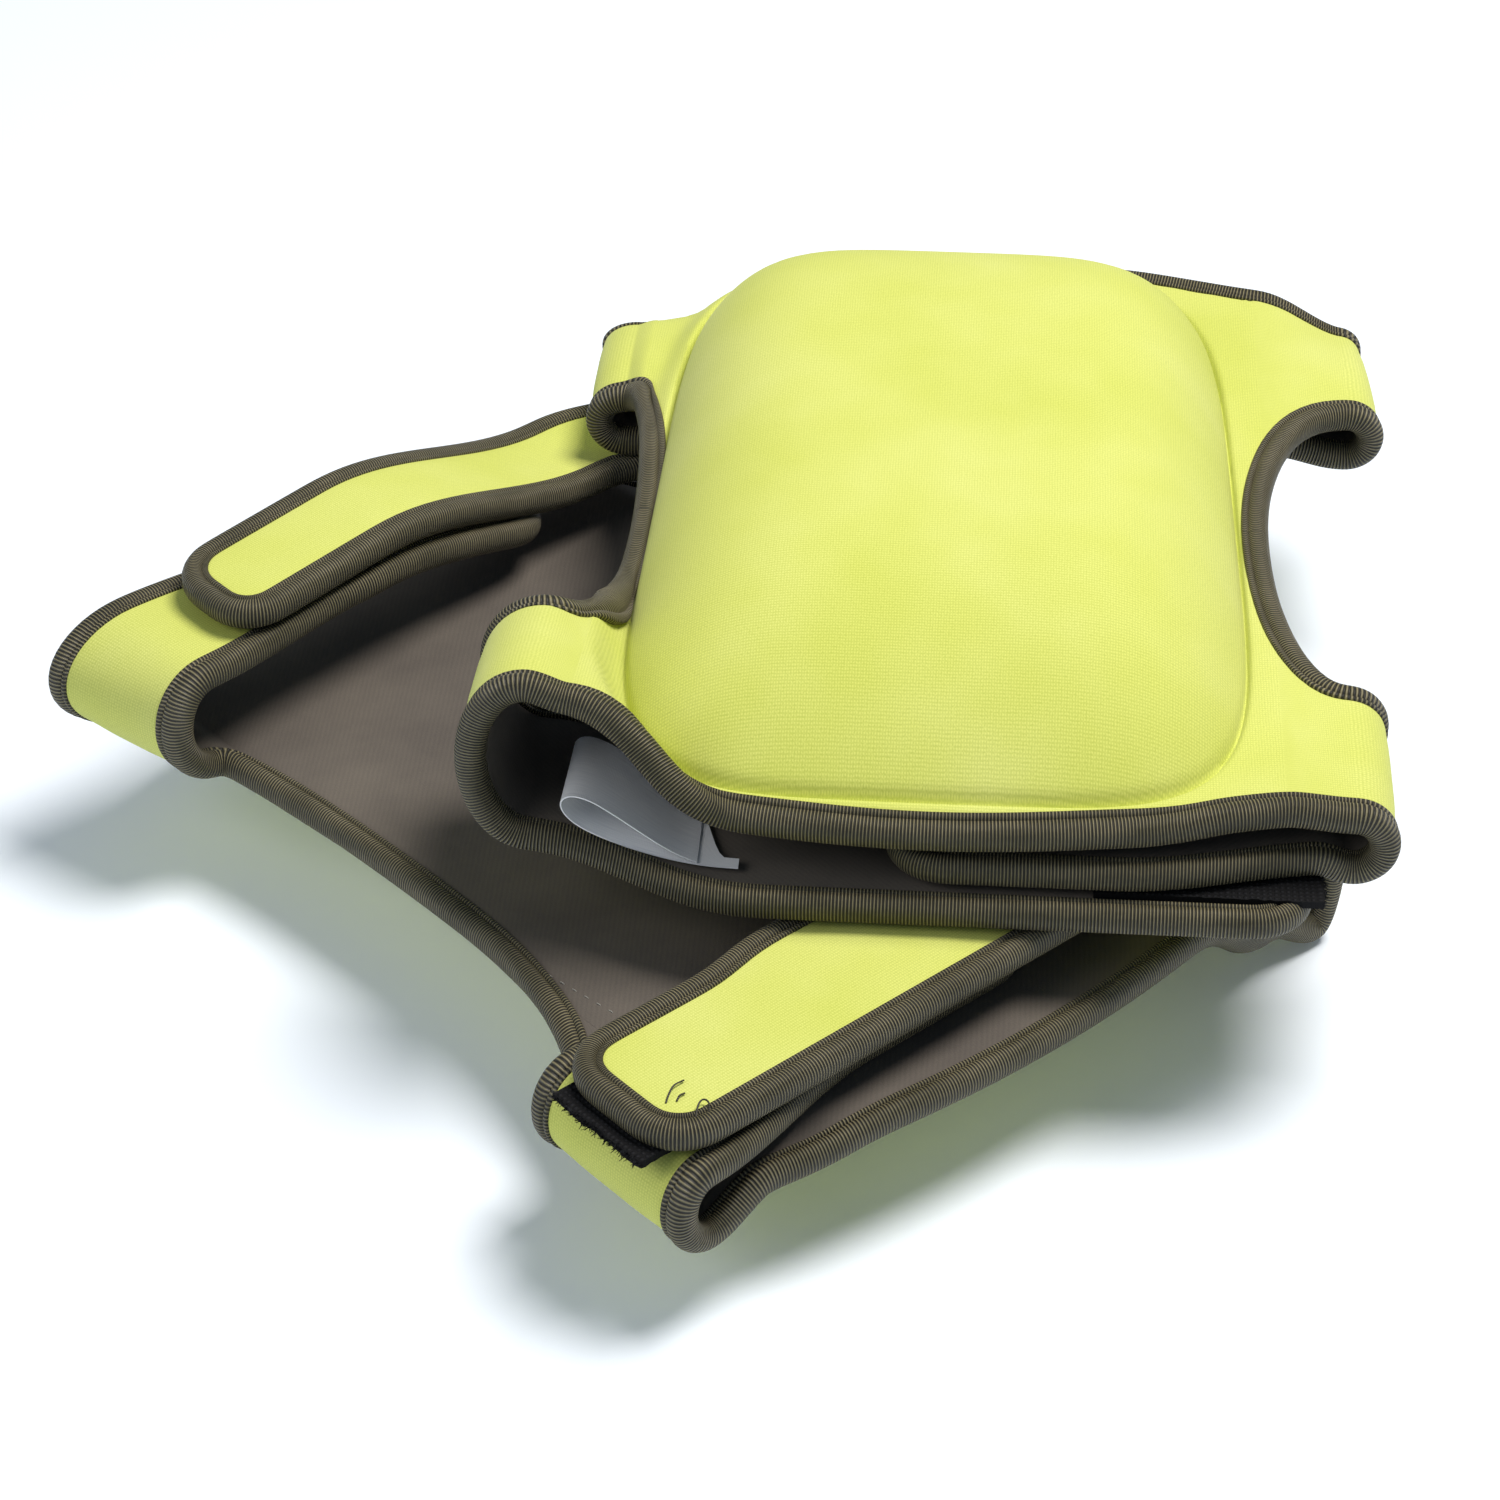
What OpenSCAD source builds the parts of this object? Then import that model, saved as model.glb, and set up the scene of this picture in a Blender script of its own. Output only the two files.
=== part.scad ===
// A pair of neoprene knee pads, one lying across the other.
// The lower pad rests on its cushion with both straps folded over the lining.
// The upper pad lies cushion up, with its straps and flaps folded underneath.
// Pad axes: x across the leg (flaps on +x, straps on -x), y along the leg (thigh on +y),
// z out of the cushion. All lengths in millimetres.

/* [Panel] */
// half the width of the padded panel, out to the seams of the side wings
panel_half = 76; // [73:1:80]
// middle of the cut-outs to the bottom (calf) edge of the panel
calf_edge = 117; // [112:1:122]
// middle of the cut-outs to the top (thigh) edge of the panel
thigh_edge = 126; // [121:1:131]
// thickness of the neoprene sheet
sheet_t = 5; // [4:0.25:5.5]

/* [Cushion] */
// height of the cushion above the panel
cushion_h = 28; // [24:0.5:32]
// squareness of the cushion outline
cushion_square = 4.8; // [4:0.1:5.6]
// flatness of the cushion crown
cushion_flat = 4.6; // [3.6:0.1:5.4]

/* [Bands] */
// width of the calf bands at the side folds
calf_w = 47; // [43:1:50]
// width of the thigh bands at the side folds
thigh_w = 52; // [48:1:55]
// reach of the flaps past the middle of the pad
flap_past = 8; // [0:1:12]
// reach of the upper pad's straps past the middle of the pad
strap_past = 82; // [74:1:84]
// radius of the rounded strap and flap tips
tip_r = 12; // [10:0.5:14]

/* [Binding] */
// width of the edge tape on each face
tape_w = 6; // [5:0.25:6.5]
// thickness of the edge tape
tape_t = 1; // [0.8:0.05:1.1]

/* [Placing] */
// turn of the lower pad against the upper pad, degrees
lower_turn = 45; // [40:1:50]
// height of the open fold under the upper panel
upper_slack = 11; // [10:0.5:13]

/* [Hidden] */
fit = 0.1;
cut_gap = 0.5;
half_t = sheet_t / 2;
rim_t = half_t + fit + tape_t;
level = 2 * rim_t + 0.3;
crown_cut = 0.5;
cushion_half = panel_half - 7.5;
calf_rim = 8.5;
thigh_rim = 9;
cushion_mid = (thigh_edge - thigh_rim - calf_edge + calf_rim) / 2;
cushion_long = (thigh_edge - thigh_rim + calf_edge - calf_rim) / 2;
calf_bow = 9;
thigh_bow = 9;
calf_in = calf_edge - calf_bow - calf_w;
thigh_in = thigh_edge - thigh_bow - 2 - thigh_w;
hook_t = 1.8;
lower_z = cushion_h + half_t - crown_cut;
upper_z = lower_z + 4 * level + upper_slack;
lower_at = [-0.695, -13.19, lower_z];
upper_at = [50.305, 35.81, upper_z];
strap_drop = -upper_slack - level;
floor_z = lower_z - half_t - cut_gap - tape_t - 0.3;
// reach of the lower pad's straps past the middle, and the lines where their ends peel up
lower_calf_past = 100;
lower_thigh_past = 72;
calf_peel = -54;
thigh_peel = -34;
// panel edge to the side folds of the lower straps
lower_fold = 20;
// reach of the lower thigh flap past the middle
lower_flap_past = flap_past + 22;
green = [0.80, 0.86, 0.35];
dark = [0.25, 0.24, 0.22];
black = [0.06, 0.06, 0.06];
white = [0.93, 0.93, 0.92];
grey = [0.55, 0.55, 0.53];

// Corner lifts of the panel: [strap calf, flap calf, strap thigh, flap thigh],
// growing from this distance off the middle of the cut-outs.
lift_from = 20;
upper_lift = [21, 1, -5, -2.5];
lower_lift = [16, 3, 16, 0];

// A band: 0 side, 1 leg end, 2 inner edge, 3 width, 4 fold centre, 5 fold reach,
// 6 fold top at the inner edge, 7 at the outer edge, 8 fold bottom, 9 level of the lying part,
// 10 and 11 where it comes down to that level, 12 reach past the middle, 13 and 14 shift of the
// inner and outer edge, 15 rise of the tip, 16 and 17 where the tip rises, 18 panel lifts,
// 19 slant of the lying part, 20 extra reach of the fold at the outer edge.
upper_calf_strap_band = [-1, -1, calf_in, calf_w, panel_half + 10, 10.5, 16, 26, strap_drop,
    strap_drop, 40, 80, strap_past - 1.5, 8, 14, 0, 0, 1, upper_lift, 0, 0];
upper_thigh_strap_band = [-1, 1, thigh_in, thigh_w, panel_half + 5, 6.5, -3.5, -7, strap_drop,
    strap_drop, 40, 80, strap_past - 2, 6, 0, 0, 0, 1, upper_lift, 0, 0];
upper_calf_flap_band = [1, -1, calf_in, calf_w, panel_half + 15, 6.5, 0, 0, -upper_slack - 2.5,
    -upper_slack, panel_half + 8, panel_half + 14, flap_past, 6, 9, 0, 0, 1, upper_lift, 0, 0];
upper_thigh_flap_band = [1, 1, thigh_in - 3, thigh_w + 6, panel_half + 22, 6, -3, -3,
    -upper_slack - 2.5, -upper_slack, panel_half + 6, panel_half + 21, flap_past, 4, -2, 0, 0, 1,
    upper_lift, 0, 0];
lower_calf_strap_band = [-1, -1, calf_in, calf_w, panel_half + lower_fold, 12, 12, floor_z,
    -2 * level, -2 * level, 40, 80, lower_calf_past, 3, -3, 0, 0, 1, lower_lift, 0, 0];
lower_thigh_strap_band = [-1, 1, thigh_in + 5, thigh_w - 4, panel_half + lower_fold + 8, 12, 12, floor_z,
    -2 * level, -2 * level, 40, 80, lower_thigh_past, 32, 15, -19.5, -55, 5, lower_lift, -20, 0];
lower_calf_flap_band = [1, -1, calf_in, calf_w, panel_half + 16, 7, 9.5, 9.5, -level, -level,
    40, 80, flap_past, 0, -8, 0, 0, 1, lower_lift, 0, 0];
lower_thigh_flap_band = [1, 1, thigh_in + 16, thigh_w - 14, panel_half + 6, 9.5, -2, -2, -26.8,
    -level, -60, 30, lower_flap_past, 6, -4, 0, 0, 1, lower_lift, 9, 9];

// Small helpers.
function ss(a, b, x) = let (t = max(0, min(1, (x - a) / (b - a)))) t * t * (3 - 2 * t);
function lerp(a, b, t) = a + (b - a) * t;
function unit(v) = v / norm(v);
function total(v) = len(v) == 0 ? 0 : v * [for (i = v) 1];
function back(v) = [for (i = [len(v) - 1:-1:0]) v[i]];

// A closed solid from points and triangles, its faces turned outward.
module solid(pts, tris) {
    vol = total([for (f = tris) pts[f[0]] * cross(pts[f[1]], pts[f[2]])]);
    polyhedron(points = pts, faces = vol > 0 ? [for (f = tris) back(f)] : tris, convexity = 6);
}

// A slab between two grids of the same rows and columns.
module slab(top, low) {
    nr = len(top);
    nc = len(top[0]);
    n = nr * nc;
    pts = concat([for (r = top) for (p = r) p], [for (r = low) for (p = r) p]);
    skins = [for (r = [0:nr - 2]) for (c = [0:nc - 2]) let (i = r * nc + c)
        each [[i, i + 1, i + nc + 1], [i, i + nc + 1, i + nc],
            [n + i, n + i + nc + 1, n + i + 1], [n + i, n + i + nc, n + i + nc + 1]]];
    long_sides = [for (r = [0:nr - 2]) let (i = r * nc, j = i + nc - 1)
        each [[i, i + nc, n + i + nc], [i, n + i + nc, n + i],
            [j, n + j + nc, j + nc], [j, n + j, n + j + nc]]];
    short_sides = [for (c = [0:nc - 2]) let (i = c, j = (nr - 1) * nc + c)
        each [[i, n + i + 1, i + 1], [i, n + i, n + i + 1],
            [j, j + 1, n + j + 1], [j, n + j + 1, n + j]]];
    solid(pts, concat(skins, long_sides, short_sides));
}

// A disc of rays: each ray runs from the middle outward, top and low surfaces share the rim.
module disc(top_mid, low_mid, top, low) {
    nk = len(top);
    nr = len(top[0]);
    n = nk * nr;
    pts = concat([for (k = top) for (p = k) p], [for (k = low) for (p = k) p], [top_mid, low_mid]);
    caps = [for (k = [0:nk - 1]) let (j = (k + 1) % nk)
        each [[2 * n, k * nr, j * nr], [2 * n + 1, n + j * nr, n + k * nr]]];
    skins = [for (k = [0:nk - 1]) for (r = [0:nr - 2])
        let (a = k * nr + r, b = ((k + 1) % nk) * nr + r)
        each [[a, a + 1, b + 1], [a, b + 1, b],
            [n + a, n + b + 1, n + a + 1], [n + a, n + b, n + b + 1]]];
    rim = [for (k = [0:nk - 1]) let (a = k * nr + nr - 1, b = ((k + 1) % nk) * nr + nr - 1)
        each [[a, n + a, n + b], [a, n + b, b]]];
    solid(pts, concat(caps, skins, rim));
}

// A folded tape swept along rings of eight points. For each stretch, turns says which way the
// faces against the sheet are split, so that they lie along the sheet's own triangles.
module sweep(rings, turns) {
    n = len(rings);
    pts = [for (r = rings) for (p = r) p];
    walls = [for (i = [0:n - 2]) for (k = [0:7]) let (a = i * 8 + k, b = i * 8 + (k + 1) % 8)
        each (k == 5 && turns[i] == 0) || (k == 7 && turns[i] == 1)
            ? [[a, b, a + 8], [b, b + 8, a + 8]] : [[a, b, b + 8], [a, b + 8, a + 8]]];
    quads = [[0, 1, 2, 7], [2, 3, 6, 7], [3, 4, 5, 6]];
    e = (n - 1) * 8;
    caps = [for (q = quads) each [[q[0], q[2], q[1]], [q[0], q[3], q[2]],
        [e + q[0], e + q[1], e + q[2]], [e + q[0], e + q[2], e + q[3]]]];
    solid(pts, concat(walls, caps));
}

// One ring of tape: edge point, point inside the edge, sheet normal.
// gap is the room between sheet and tape, m the sheet normal at the inside point.
function ring(pe, pi, n, gap = fit, m = undef) = let (k = is_undef(m) ? n : m, o = unit(pe - pi),
        a = half_t + gap, b = half_t + gap + tape_t, w = pe + o * 0.02, x = pe + o * (tape_t + 0.02))
    [pi + k * a, pi + k * b, x + n * b, x - n * b, pi - k * b, pi - k * a, w - n * a, w + n * a];

// Panel outline and cushion.
function cushion_half_at(y) = cushion_half * (1 - 0.04 * (y - cushion_mid) / cushion_long);
function rho(p) = pow(pow(abs(p[0]) / cushion_half_at(p[1]), cushion_square)
    + pow(abs(p[1] - cushion_mid) / cushion_long, cushion_square), 1 / cushion_square);
function edge_y(x, leg) = let (q = x / panel_half)
    leg < 0 ? -(calf_edge - calf_bow * q * q) : thigh_edge - thigh_bow * q * q;
function corner(x, y, lifts) = lifts[(x > 0 ? 1 : 0) + (y > 0 ? 2 : 0)];
function lift(x, y, lifts) = corner(x, y, lifts) * max(0, abs(y) - lift_from) / 80
    * ss(0.53 * panel_half, panel_half, abs(x));
edge_x = [for (f = [-1, -0.92, -0.8, -0.62, -0.32, 0, 0.32, 0.62, 0.8, 0.92]) f * panel_half];
right_y = concat([for (f = [1, 0.94, 0.8, 0.62, 0.4]) f * edge_y(panel_half, -1)],
    [-lift_from, 0, lift_from],
    [for (f = [0.4, 0.62, 0.8, 0.94]) f * edge_y(panel_half, 1)]);
left_y = concat([for (f = [1, 0.94, 0.8, 0.62, 0.4]) f * edge_y(panel_half, 1)],
    [lift_from, 0, -lift_from],
    [for (f = [0.4, 0.62, 0.8, 0.94]) f * edge_y(panel_half, -1)]);
outline = concat([for (x = edge_x) [x, edge_y(x, -1)]], [for (y = right_y) [panel_half, y]],
    [for (x = edge_x) [-x, edge_y(x, 1)]], [for (y = left_y) [-panel_half, y]]);
middle = [0, cushion_mid];
rings = [0.3, 0.52, 0.68, 0.8, 0.9, 1];
function inset(p) = p + unit(middle - p) * tape_w;
// Flat points of one ray of the panel, from the cushion outward.
function ray(p) = concat([for (r = rings) middle + (p - middle) * r / rho(p)], [inset(p), p]);
// Share of an edge point's lift that the panel has at the inside of the tape.
function inset_share(p) = ss(0, 1, (rho(inset(p)) - 1) / (rho(p) - 1));
function rise(p, i, lifts) = i < len(rings) ? 0
    : lift(p[0], p[1], lifts) * (i == len(rings) ? inset_share(p) : 1);
// The crown falls off more steeply toward the thigh end.
function fall(p) = cushion_flat * (1 + 0.18 * unit(p - middle)[1]);
function bulge(p, i) = i < len(rings) ? cushion_h * (1 - pow(rings[i], fall(p))) : 0;
function panel_pt(p, i, dz, lifts) = let (q = ray(p)[i]) [q[0], q[1], rise(p, i, lifts) + dz];
function cover_z(p, i, cut) = min(half_t + bulge(p, i), cut);
module cover(lifts, cut) {
    crown = min(half_t + cushion_h, cut);
    disc([middle[0], middle[1], crown], [middle[0], middle[1], crown - half_t],
        [for (p = outline) [for (i = [0:len(rings) + 1]) panel_pt(p, i, cover_z(p, i, cut), lifts)]],
        [for (p = outline) [for (i = [0:len(rings) + 1])
            panel_pt(p, i, cover_z(p, i, cut) - half_t, lifts)]]);
}
module foam(lifts, cut) {
    crown = min(half_t + cushion_h, cut) - half_t - 0.02;
    last = len(rings) - 1;
    picks = [0, 2, 3, 4];
    function top(p, i) = panel_pt(p, i, cover_z(p, i, cut) - half_t - 0.02, lifts);
    function low(p, i) = panel_pt(p, i, 0.02, lifts);
    disc([middle[0], middle[1], crown], [middle[0], middle[1], 0.02],
        [for (p = outline) concat([for (i = picks) top(p, i)],
            [lerp(top(p, last - 1), top(p, last), 0.6)])],
        [for (p = outline) concat([for (i = picks) low(p, i)],
            [lerp(low(p, last - 1), low(p, last), 0.6)])]);
}
module lining(lifts) {
    picks = [len(rings) - 1, len(rings), len(rings) + 1];
    disc([middle[0], middle[1], 0], [middle[0], middle[1], -half_t],
        [for (p = outline) [for (i = picks) panel_pt(p, i, 0, lifts)]],
        [for (p = outline) [for (i = picks) panel_pt(p, i, -half_t, lifts)]]);
}

// Bands. Kind 0 is the wing (value 0 to 1), kind 1 the fold (0 to 180 degrees) and
// kind 2 the lying part (value is the distance from the middle, negative past it).
function fold_top(b, y) = lerp(b[6], b[7], (y - b[2]) / b[3]);
function fold_reach(b, y) = b[5] + b[20] * (y - b[2]) / b[3];
function arm_z(b, q) = b[9] + (b[8] - b[9]) * ss(b[10], b[11], q) + b[15] * ss(b[16], b[17], -q);
function arm_slope(b, q) = (arm_z(b, q + 0.05) - arm_z(b, q - 0.05)) / 0.1;
function mid(b, kind, v, y) = let (root = lift(b[0] * panel_half, b[1] * y, b[18]),
        top = fold_top(b, y), xz = kind == 0
        ? [lerp(panel_half, b[4], v), root + (top - root) * v * v * (3 - 2 * v)]
        : kind == 1 ? [b[4] + fold_reach(b, y) * sin(v), lerp(b[8], top, (1 + cos(v)) / 2)]
        : [v, arm_z(b, v)])
    [b[0] * xz[0], b[1] * y, xz[1]];
// Share of a wing's slope that its thickness leans with, small where the wing is short and steep.
function tilt(b, drop) = let (w = b[4] - panel_half)
    min(1, 0.8 * w * w / (24 * max(abs(drop), 0.01)));
function nrm(b, kind, v, y) = let (root = lift(b[0] * panel_half, b[1] * y, b[18]),
        top = fold_top(b, y), n = kind == 0
        ? [-tilt(b, top - root) * (top - root) * 6 * v * (1 - v) / (b[4] - panel_half), 1]
        : kind == 1 ? [sin(v) / fold_reach(b, y), 2 * cos(v) / (top - b[8])]
        : [arm_slope(b, v), -1], u = unit(n))
    [b[0] * u[0], 0, u[1]];
function tip_inset(b, q) = let (e = max(0, q + b[12]))
    e >= tip_r ? 0 : tip_r - sqrt(tip_r * tip_r - (tip_r - e) * (tip_r - e));
function shift(b, q) = ss(0, 50, b[4] - q);
function slant(b, q) = b[19] * max(0, b[4] - 50 - q) / (b[4] - 50 + b[12]);
function inner_y(b, kind, v) = kind == 0 ? b[2] * sqrt(1 - pow(1 - max(v, 0.03), 2))
    : kind == 1 ? b[2] : b[2] + b[13] * shift(b, v) + slant(b, v) + tip_inset(b, v);
function outer_y(b, kind, v) = kind == 0 ? lerp(abs(edge_y(panel_half, b[1])), b[2] + b[3], v)
    : kind == 1 ? b[2] + b[3]
    : b[2] + b[3] + b[14] * shift(b, v) + slant(b, v) - tip_inset(b, v);
function off(b, kind, v, y, d) = mid(b, kind, v, y) + nrm(b, kind, v, y) * d;
wing_rows = [for (v = [0, 0.04, 0.11, 0.21, 0.34, 0.5, 0.67, 0.84, 1]) [0, v]];
fold_rows = [for (a = [0:22.5:180]) [1, a]];
function tip_rows(b) = [for (e = [1, 0.62, 0.3, 0.08, 0]) [2, e * tip_r - b[12]]];
function steps(a, b, n) = [for (i = [0:n]) [2, lerp(a, b, i / n)]];
function arm_rows(b) = concat(steps(b[4], b[4] - 50, 5), steps(b[4] - 65, 20 - b[12], 3),
    tip_rows(b));
function columns(b, r) = let (a = inner_y(b, r[0], r[1]), z = outer_y(b, r[0], r[1]),
        w = min(tape_w, 0.3 * (z - a)))
    [a, a + w, (a + z) / 2, z - w, z];
module sheet(b, rows) {
    slab([for (r = rows) [for (y = columns(b, r)) off(b, r[0], r[1], y, half_t)]],
        [for (r = rows) [for (y = columns(b, r)) off(b, r[0], r[1], y, -half_t)]]);
}
// A fold with its bound rims in one piece.
module bound_fold(b) {
    cols = [[b[2] - tape_t, rim_t], [b[2] + tape_w, rim_t], [b[2] + tape_w + 0.5, half_t],
        [b[2] + b[3] / 2, half_t], [b[2] + b[3] - tape_w - 0.5, half_t],
        [b[2] + b[3] - tape_w, rim_t], [b[2] + b[3] + tape_t, rim_t]];
    slab([for (r = fold_rows) [for (c = cols) off(b, 1, r[1], c[0], c[1])]],
        [for (r = fold_rows) [for (c = cols) off(b, 1, r[1], c[0], -c[1])]]);
}
// Hook tape between two shares of the band's width.
module hook(b, q0, q1, from, to) {
    rows = steps(q0, q1, 4);
    ya = lerp(inner_y(b, 2, q0), outer_y(b, 2, q0), from);
    yb = lerp(inner_y(b, 2, q0), outer_y(b, 2, q0), to);
    cols = [ya, (ya + yb) / 2, yb];
    slab([for (r = rows) [for (y = cols) off(b, 2, r[1], y, -half_t)]],
        [for (r = rows) [for (y = cols) off(b, 2, r[1], y, -half_t - hook_t)]]);
}

// Edge tapes.
function arm_in(b, q) = let (d = max(0, tip_r - max(0, q + b[12])) / tip_r)
    [d, sqrt(max(0, 1 - d * d))];
function arm_ring(b, r, s) = let (k = r[0], v = r[1],
        y = s > 0 ? inner_y(b, k, v) : outer_y(b, k, v),
        i = k == 2 ? arm_in(b, v) : [0, 1], pe = mid(b, k, v, y),
        pi = mid(b, k, v + (k == 2 ? i[0] * tape_w : 0), y + s * i[1] * tape_w))
    ring(pe, pi, nrm(b, k, v, y));
module band_binding(b, rows) {
    sweep(concat([for (r = rows) arm_ring(b, r, 1)], [for (r = back(rows)) arm_ring(b, r, -1)]),
        [for (i = [1:2 * len(rows)]) 0]);
}
module long_edge(b, rows, s) {
    sweep([for (r = rows) arm_ring(b, r, s)], [for (r = rows) s > 0 ? 0 : 1]);
}
function panel_ring(p, lifts) = let (n = len(rings))
    ring(panel_pt(p, n + 1, 0, lifts), panel_pt(p, n, 0, lifts), [0, 0, 1]);
// Tape along the calf or thigh edge, from one side fold to the other.
module edge_binding(strap, flap, leg, lifts) {
    rows = [for (r = back(wing_rows)) if (r[1] > 0) r];
    xs = concat(edge_x, [panel_half]);
    sweep(concat([for (r = rows) arm_ring(strap, r, -1)],
        [for (x = xs) panel_ring([x, edge_y(x, leg)], lifts)],
        [for (r = back(rows)) arm_ring(flap, r, -1)]),
        concat([for (r = rows) 0], [for (x = xs) leg < 0 ? 1 : 0], [for (r = rows) 1]));
}
// Tape around a side cut-out, from the calf fold to the thigh fold.
function cut_slope(b, v) = (inner_y(b, 0, v + 0.01) - inner_y(b, 0, v - 0.01)) / 0.02;
// Room under the tape, more where the panel bends up strongly beside it or the wing is short.
function corner_gap(b) = cut_gap * (1 + abs(corner(b[0], b[1], b[18])) / 15
    + max(0, 1 - (b[4] - panel_half) / 10));
// A point of the panel beside its side edge, between the edge and the rim of the cushion.
function panel_mid(q, lifts) = let (p = middle + (q - middle) * panel_half / abs(q[0]),
        d = norm(p - q), rim = norm(p - middle) * (1 - 1 / rho(p)),
        share = d < tape_w ? lerp(1, inset_share(p), d / tape_w)
            : inset_share(p) * max(0, (rim - d) / (rim - tape_w)))
    [q[0], q[1], lift(p[0], p[1], lifts) * share];
function cut_mid(b, x, y) = x >= panel_half ? mid(b, 0, (x - panel_half) / (b[4] - panel_half), y)
    : panel_mid([b[0] * x, b[1] * y], b[18]);
function cut_ring(b, r) = let (v = max(r[1], 0.03), x = lerp(panel_half, b[4], r[1]),
        y = inner_y(b, 0, r[1]), t = unit([b[4] - panel_half, min(cut_slope(b, v), 400)]),
        xi = x - t[1] * tape_w, yi = y + t[0] * tape_w, vi = (xi - panel_half) / (b[4] - panel_half))
    ring(mid(b, 0, r[1], y), cut_mid(b, xi, yi), nrm(b, 0, r[1], y), corner_gap(b),
        nrm(b, 0, max(0, vi), yi));
module cut_binding(calf, thigh) {
    panel_turn = calf[0] < 0 ? 0 : 1;
    sweep(concat([for (r = back(wing_rows)) cut_ring(calf, r)],
        [ring([calf[0] * panel_half, 0, 0], [calf[0] * (panel_half - tape_w), 0, 0], [0, 0, 1],
            cut_gap)],
        [for (r = wing_rows) cut_ring(thigh, r)]),
        concat([for (r = back(wing_rows)) r[1] > 0.5 ? 1 : panel_turn], [panel_turn],
            [for (r = wing_rows) r[1] < 0.5 ? panel_turn : 0]));
}

// Placing of the two pads.
module upper() {
    translate(upper_at) children();
}
module lower() {
    translate(lower_at) rotate([0, 0, lower_turn]) rotate([0, 180, 0]) children();
}

// Upper pad: panel.
module upper_cushion_cover() color(green) upper() cover(upper_lift, 1000);
module upper_foam_core() color(grey) upper() foam(upper_lift, 1000);
module upper_lining() color(dark) upper() lining(upper_lift);
module upper_calf_edge_binding() color(dark) upper()
    edge_binding(upper_calf_strap_band, upper_calf_flap_band, -1, upper_lift);
module upper_thigh_edge_binding() color(dark) upper()
    edge_binding(upper_thigh_strap_band, upper_thigh_flap_band, 1, upper_lift);
module upper_strap_side_binding() color(dark) upper()
    cut_binding(upper_calf_strap_band, upper_thigh_strap_band);
module upper_flap_side_binding() color(dark) upper()
    cut_binding(upper_calf_flap_band, upper_thigh_flap_band);
module upper_calf_strap_wing() color(green) upper() sheet(upper_calf_strap_band, wing_rows);
module upper_thigh_strap_wing() color(green) upper() sheet(upper_thigh_strap_band, wing_rows);
module upper_calf_flap_wing() color(green) upper() sheet(upper_calf_flap_band, wing_rows);
module upper_thigh_flap_wing() color(green) upper() sheet(upper_thigh_flap_band, wing_rows);

// Upper pad: the soft side folds.
module upper_calf_strap_fold() color(green) upper() bound_fold(upper_calf_strap_band);
module upper_thigh_strap_fold() color(green) upper() bound_fold(upper_thigh_strap_band);
module upper_calf_flap_fold() color(green) upper() bound_fold(upper_calf_flap_band);
module upper_thigh_flap_fold() color(green) upper() bound_fold(upper_thigh_flap_band);

// Upper pad: straps and flaps lying underneath.
module upper_arm(b) {
    color(green) upper() sheet(b, arm_rows(b));
}
module upper_arm_binding(b) {
    color(dark) upper() band_binding(b, arm_rows(b));
}
module upper_calf_strap() upper_arm(upper_calf_strap_band);
module upper_thigh_strap() upper_arm(upper_thigh_strap_band);
module upper_calf_strap_binding() upper_arm_binding(upper_calf_strap_band);
module upper_thigh_strap_binding() upper_arm_binding(upper_thigh_strap_band);
module upper_calf_flap() upper_arm(upper_calf_flap_band);
module upper_thigh_flap() upper_arm(upper_thigh_flap_band);
module upper_calf_flap_binding() upper_arm_binding(upper_calf_flap_band);
module upper_thigh_flap_binding() upper_arm_binding(upper_thigh_flap_band);
module upper_calf_hook_tape() color(black) upper()
    hook(upper_calf_strap_band, 46 - strap_past, 9 - strap_past, 0.2, 0.66);
module upper_thigh_hook_tape() color(black) upper()
    hook(upper_thigh_strap_band, 46 - strap_past, 9 - strap_past, 0.22, 0.69);

// A folded satin label, left blank, in the mouth of the upper calf fold.
label_z = strap_drop + rim_t + 0.05;
label_turn = 5.5;
label_x = 5 - panel_half;
label_path = concat([[label_x + 27, 0], [label_x + 13, 0], [label_x, 0]],
    [for (a = [20:20:160]) [label_x - label_turn * sin(a), label_turn * (1 - cos(a))]],
    [[label_x, 2 * label_turn], [label_x + 9, 2 * label_turn + 1.2]]);
function label_n(i) = let (a = label_path[max(0, i - 1)],
        b = label_path[min(len(label_path) - 1, i + 1)], t = unit(b - a)) [t[1], -t[0]];
module care_label() {
    ys = [-calf_edge + 1, -calf_edge + 12, -calf_edge + 24];
    color(white) upper() slab(
        [for (i = [0:len(label_path) - 1]) [for (y = ys)
            [label_path[i][0], y, label_z + 0.3 + label_path[i][1]]
            + [label_n(i)[0], 0, label_n(i)[1]] * 0.3]],
        [for (i = [0:len(label_path) - 1]) [for (y = ys)
            [label_path[i][0], y, label_z + 0.3 + label_path[i][1]]
            - [label_n(i)[0], 0, label_n(i)[1]] * 0.3]]);
}

// Lower pad: panel.
module lower_cushion_cover() color(green) lower() cover(lower_lift, lower_z);
module lower_foam_core() color(grey) lower() foam(lower_lift, lower_z);
module lower_lining() color(dark) lower() lining(lower_lift);
module lower_calf_edge_binding() color(dark) lower()
    edge_binding(lower_calf_strap_band, lower_calf_flap_band, -1, lower_lift);
module lower_thigh_edge_binding() color(dark) lower()
    edge_binding(lower_thigh_strap_band, lower_thigh_flap_band, 1, lower_lift);
module lower_strap_side_binding() color(dark) lower()
    cut_binding(lower_calf_strap_band, lower_thigh_strap_band);
module lower_flap_side_binding() color(dark) lower()
    cut_binding(lower_calf_flap_band, lower_thigh_flap_band);

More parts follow.
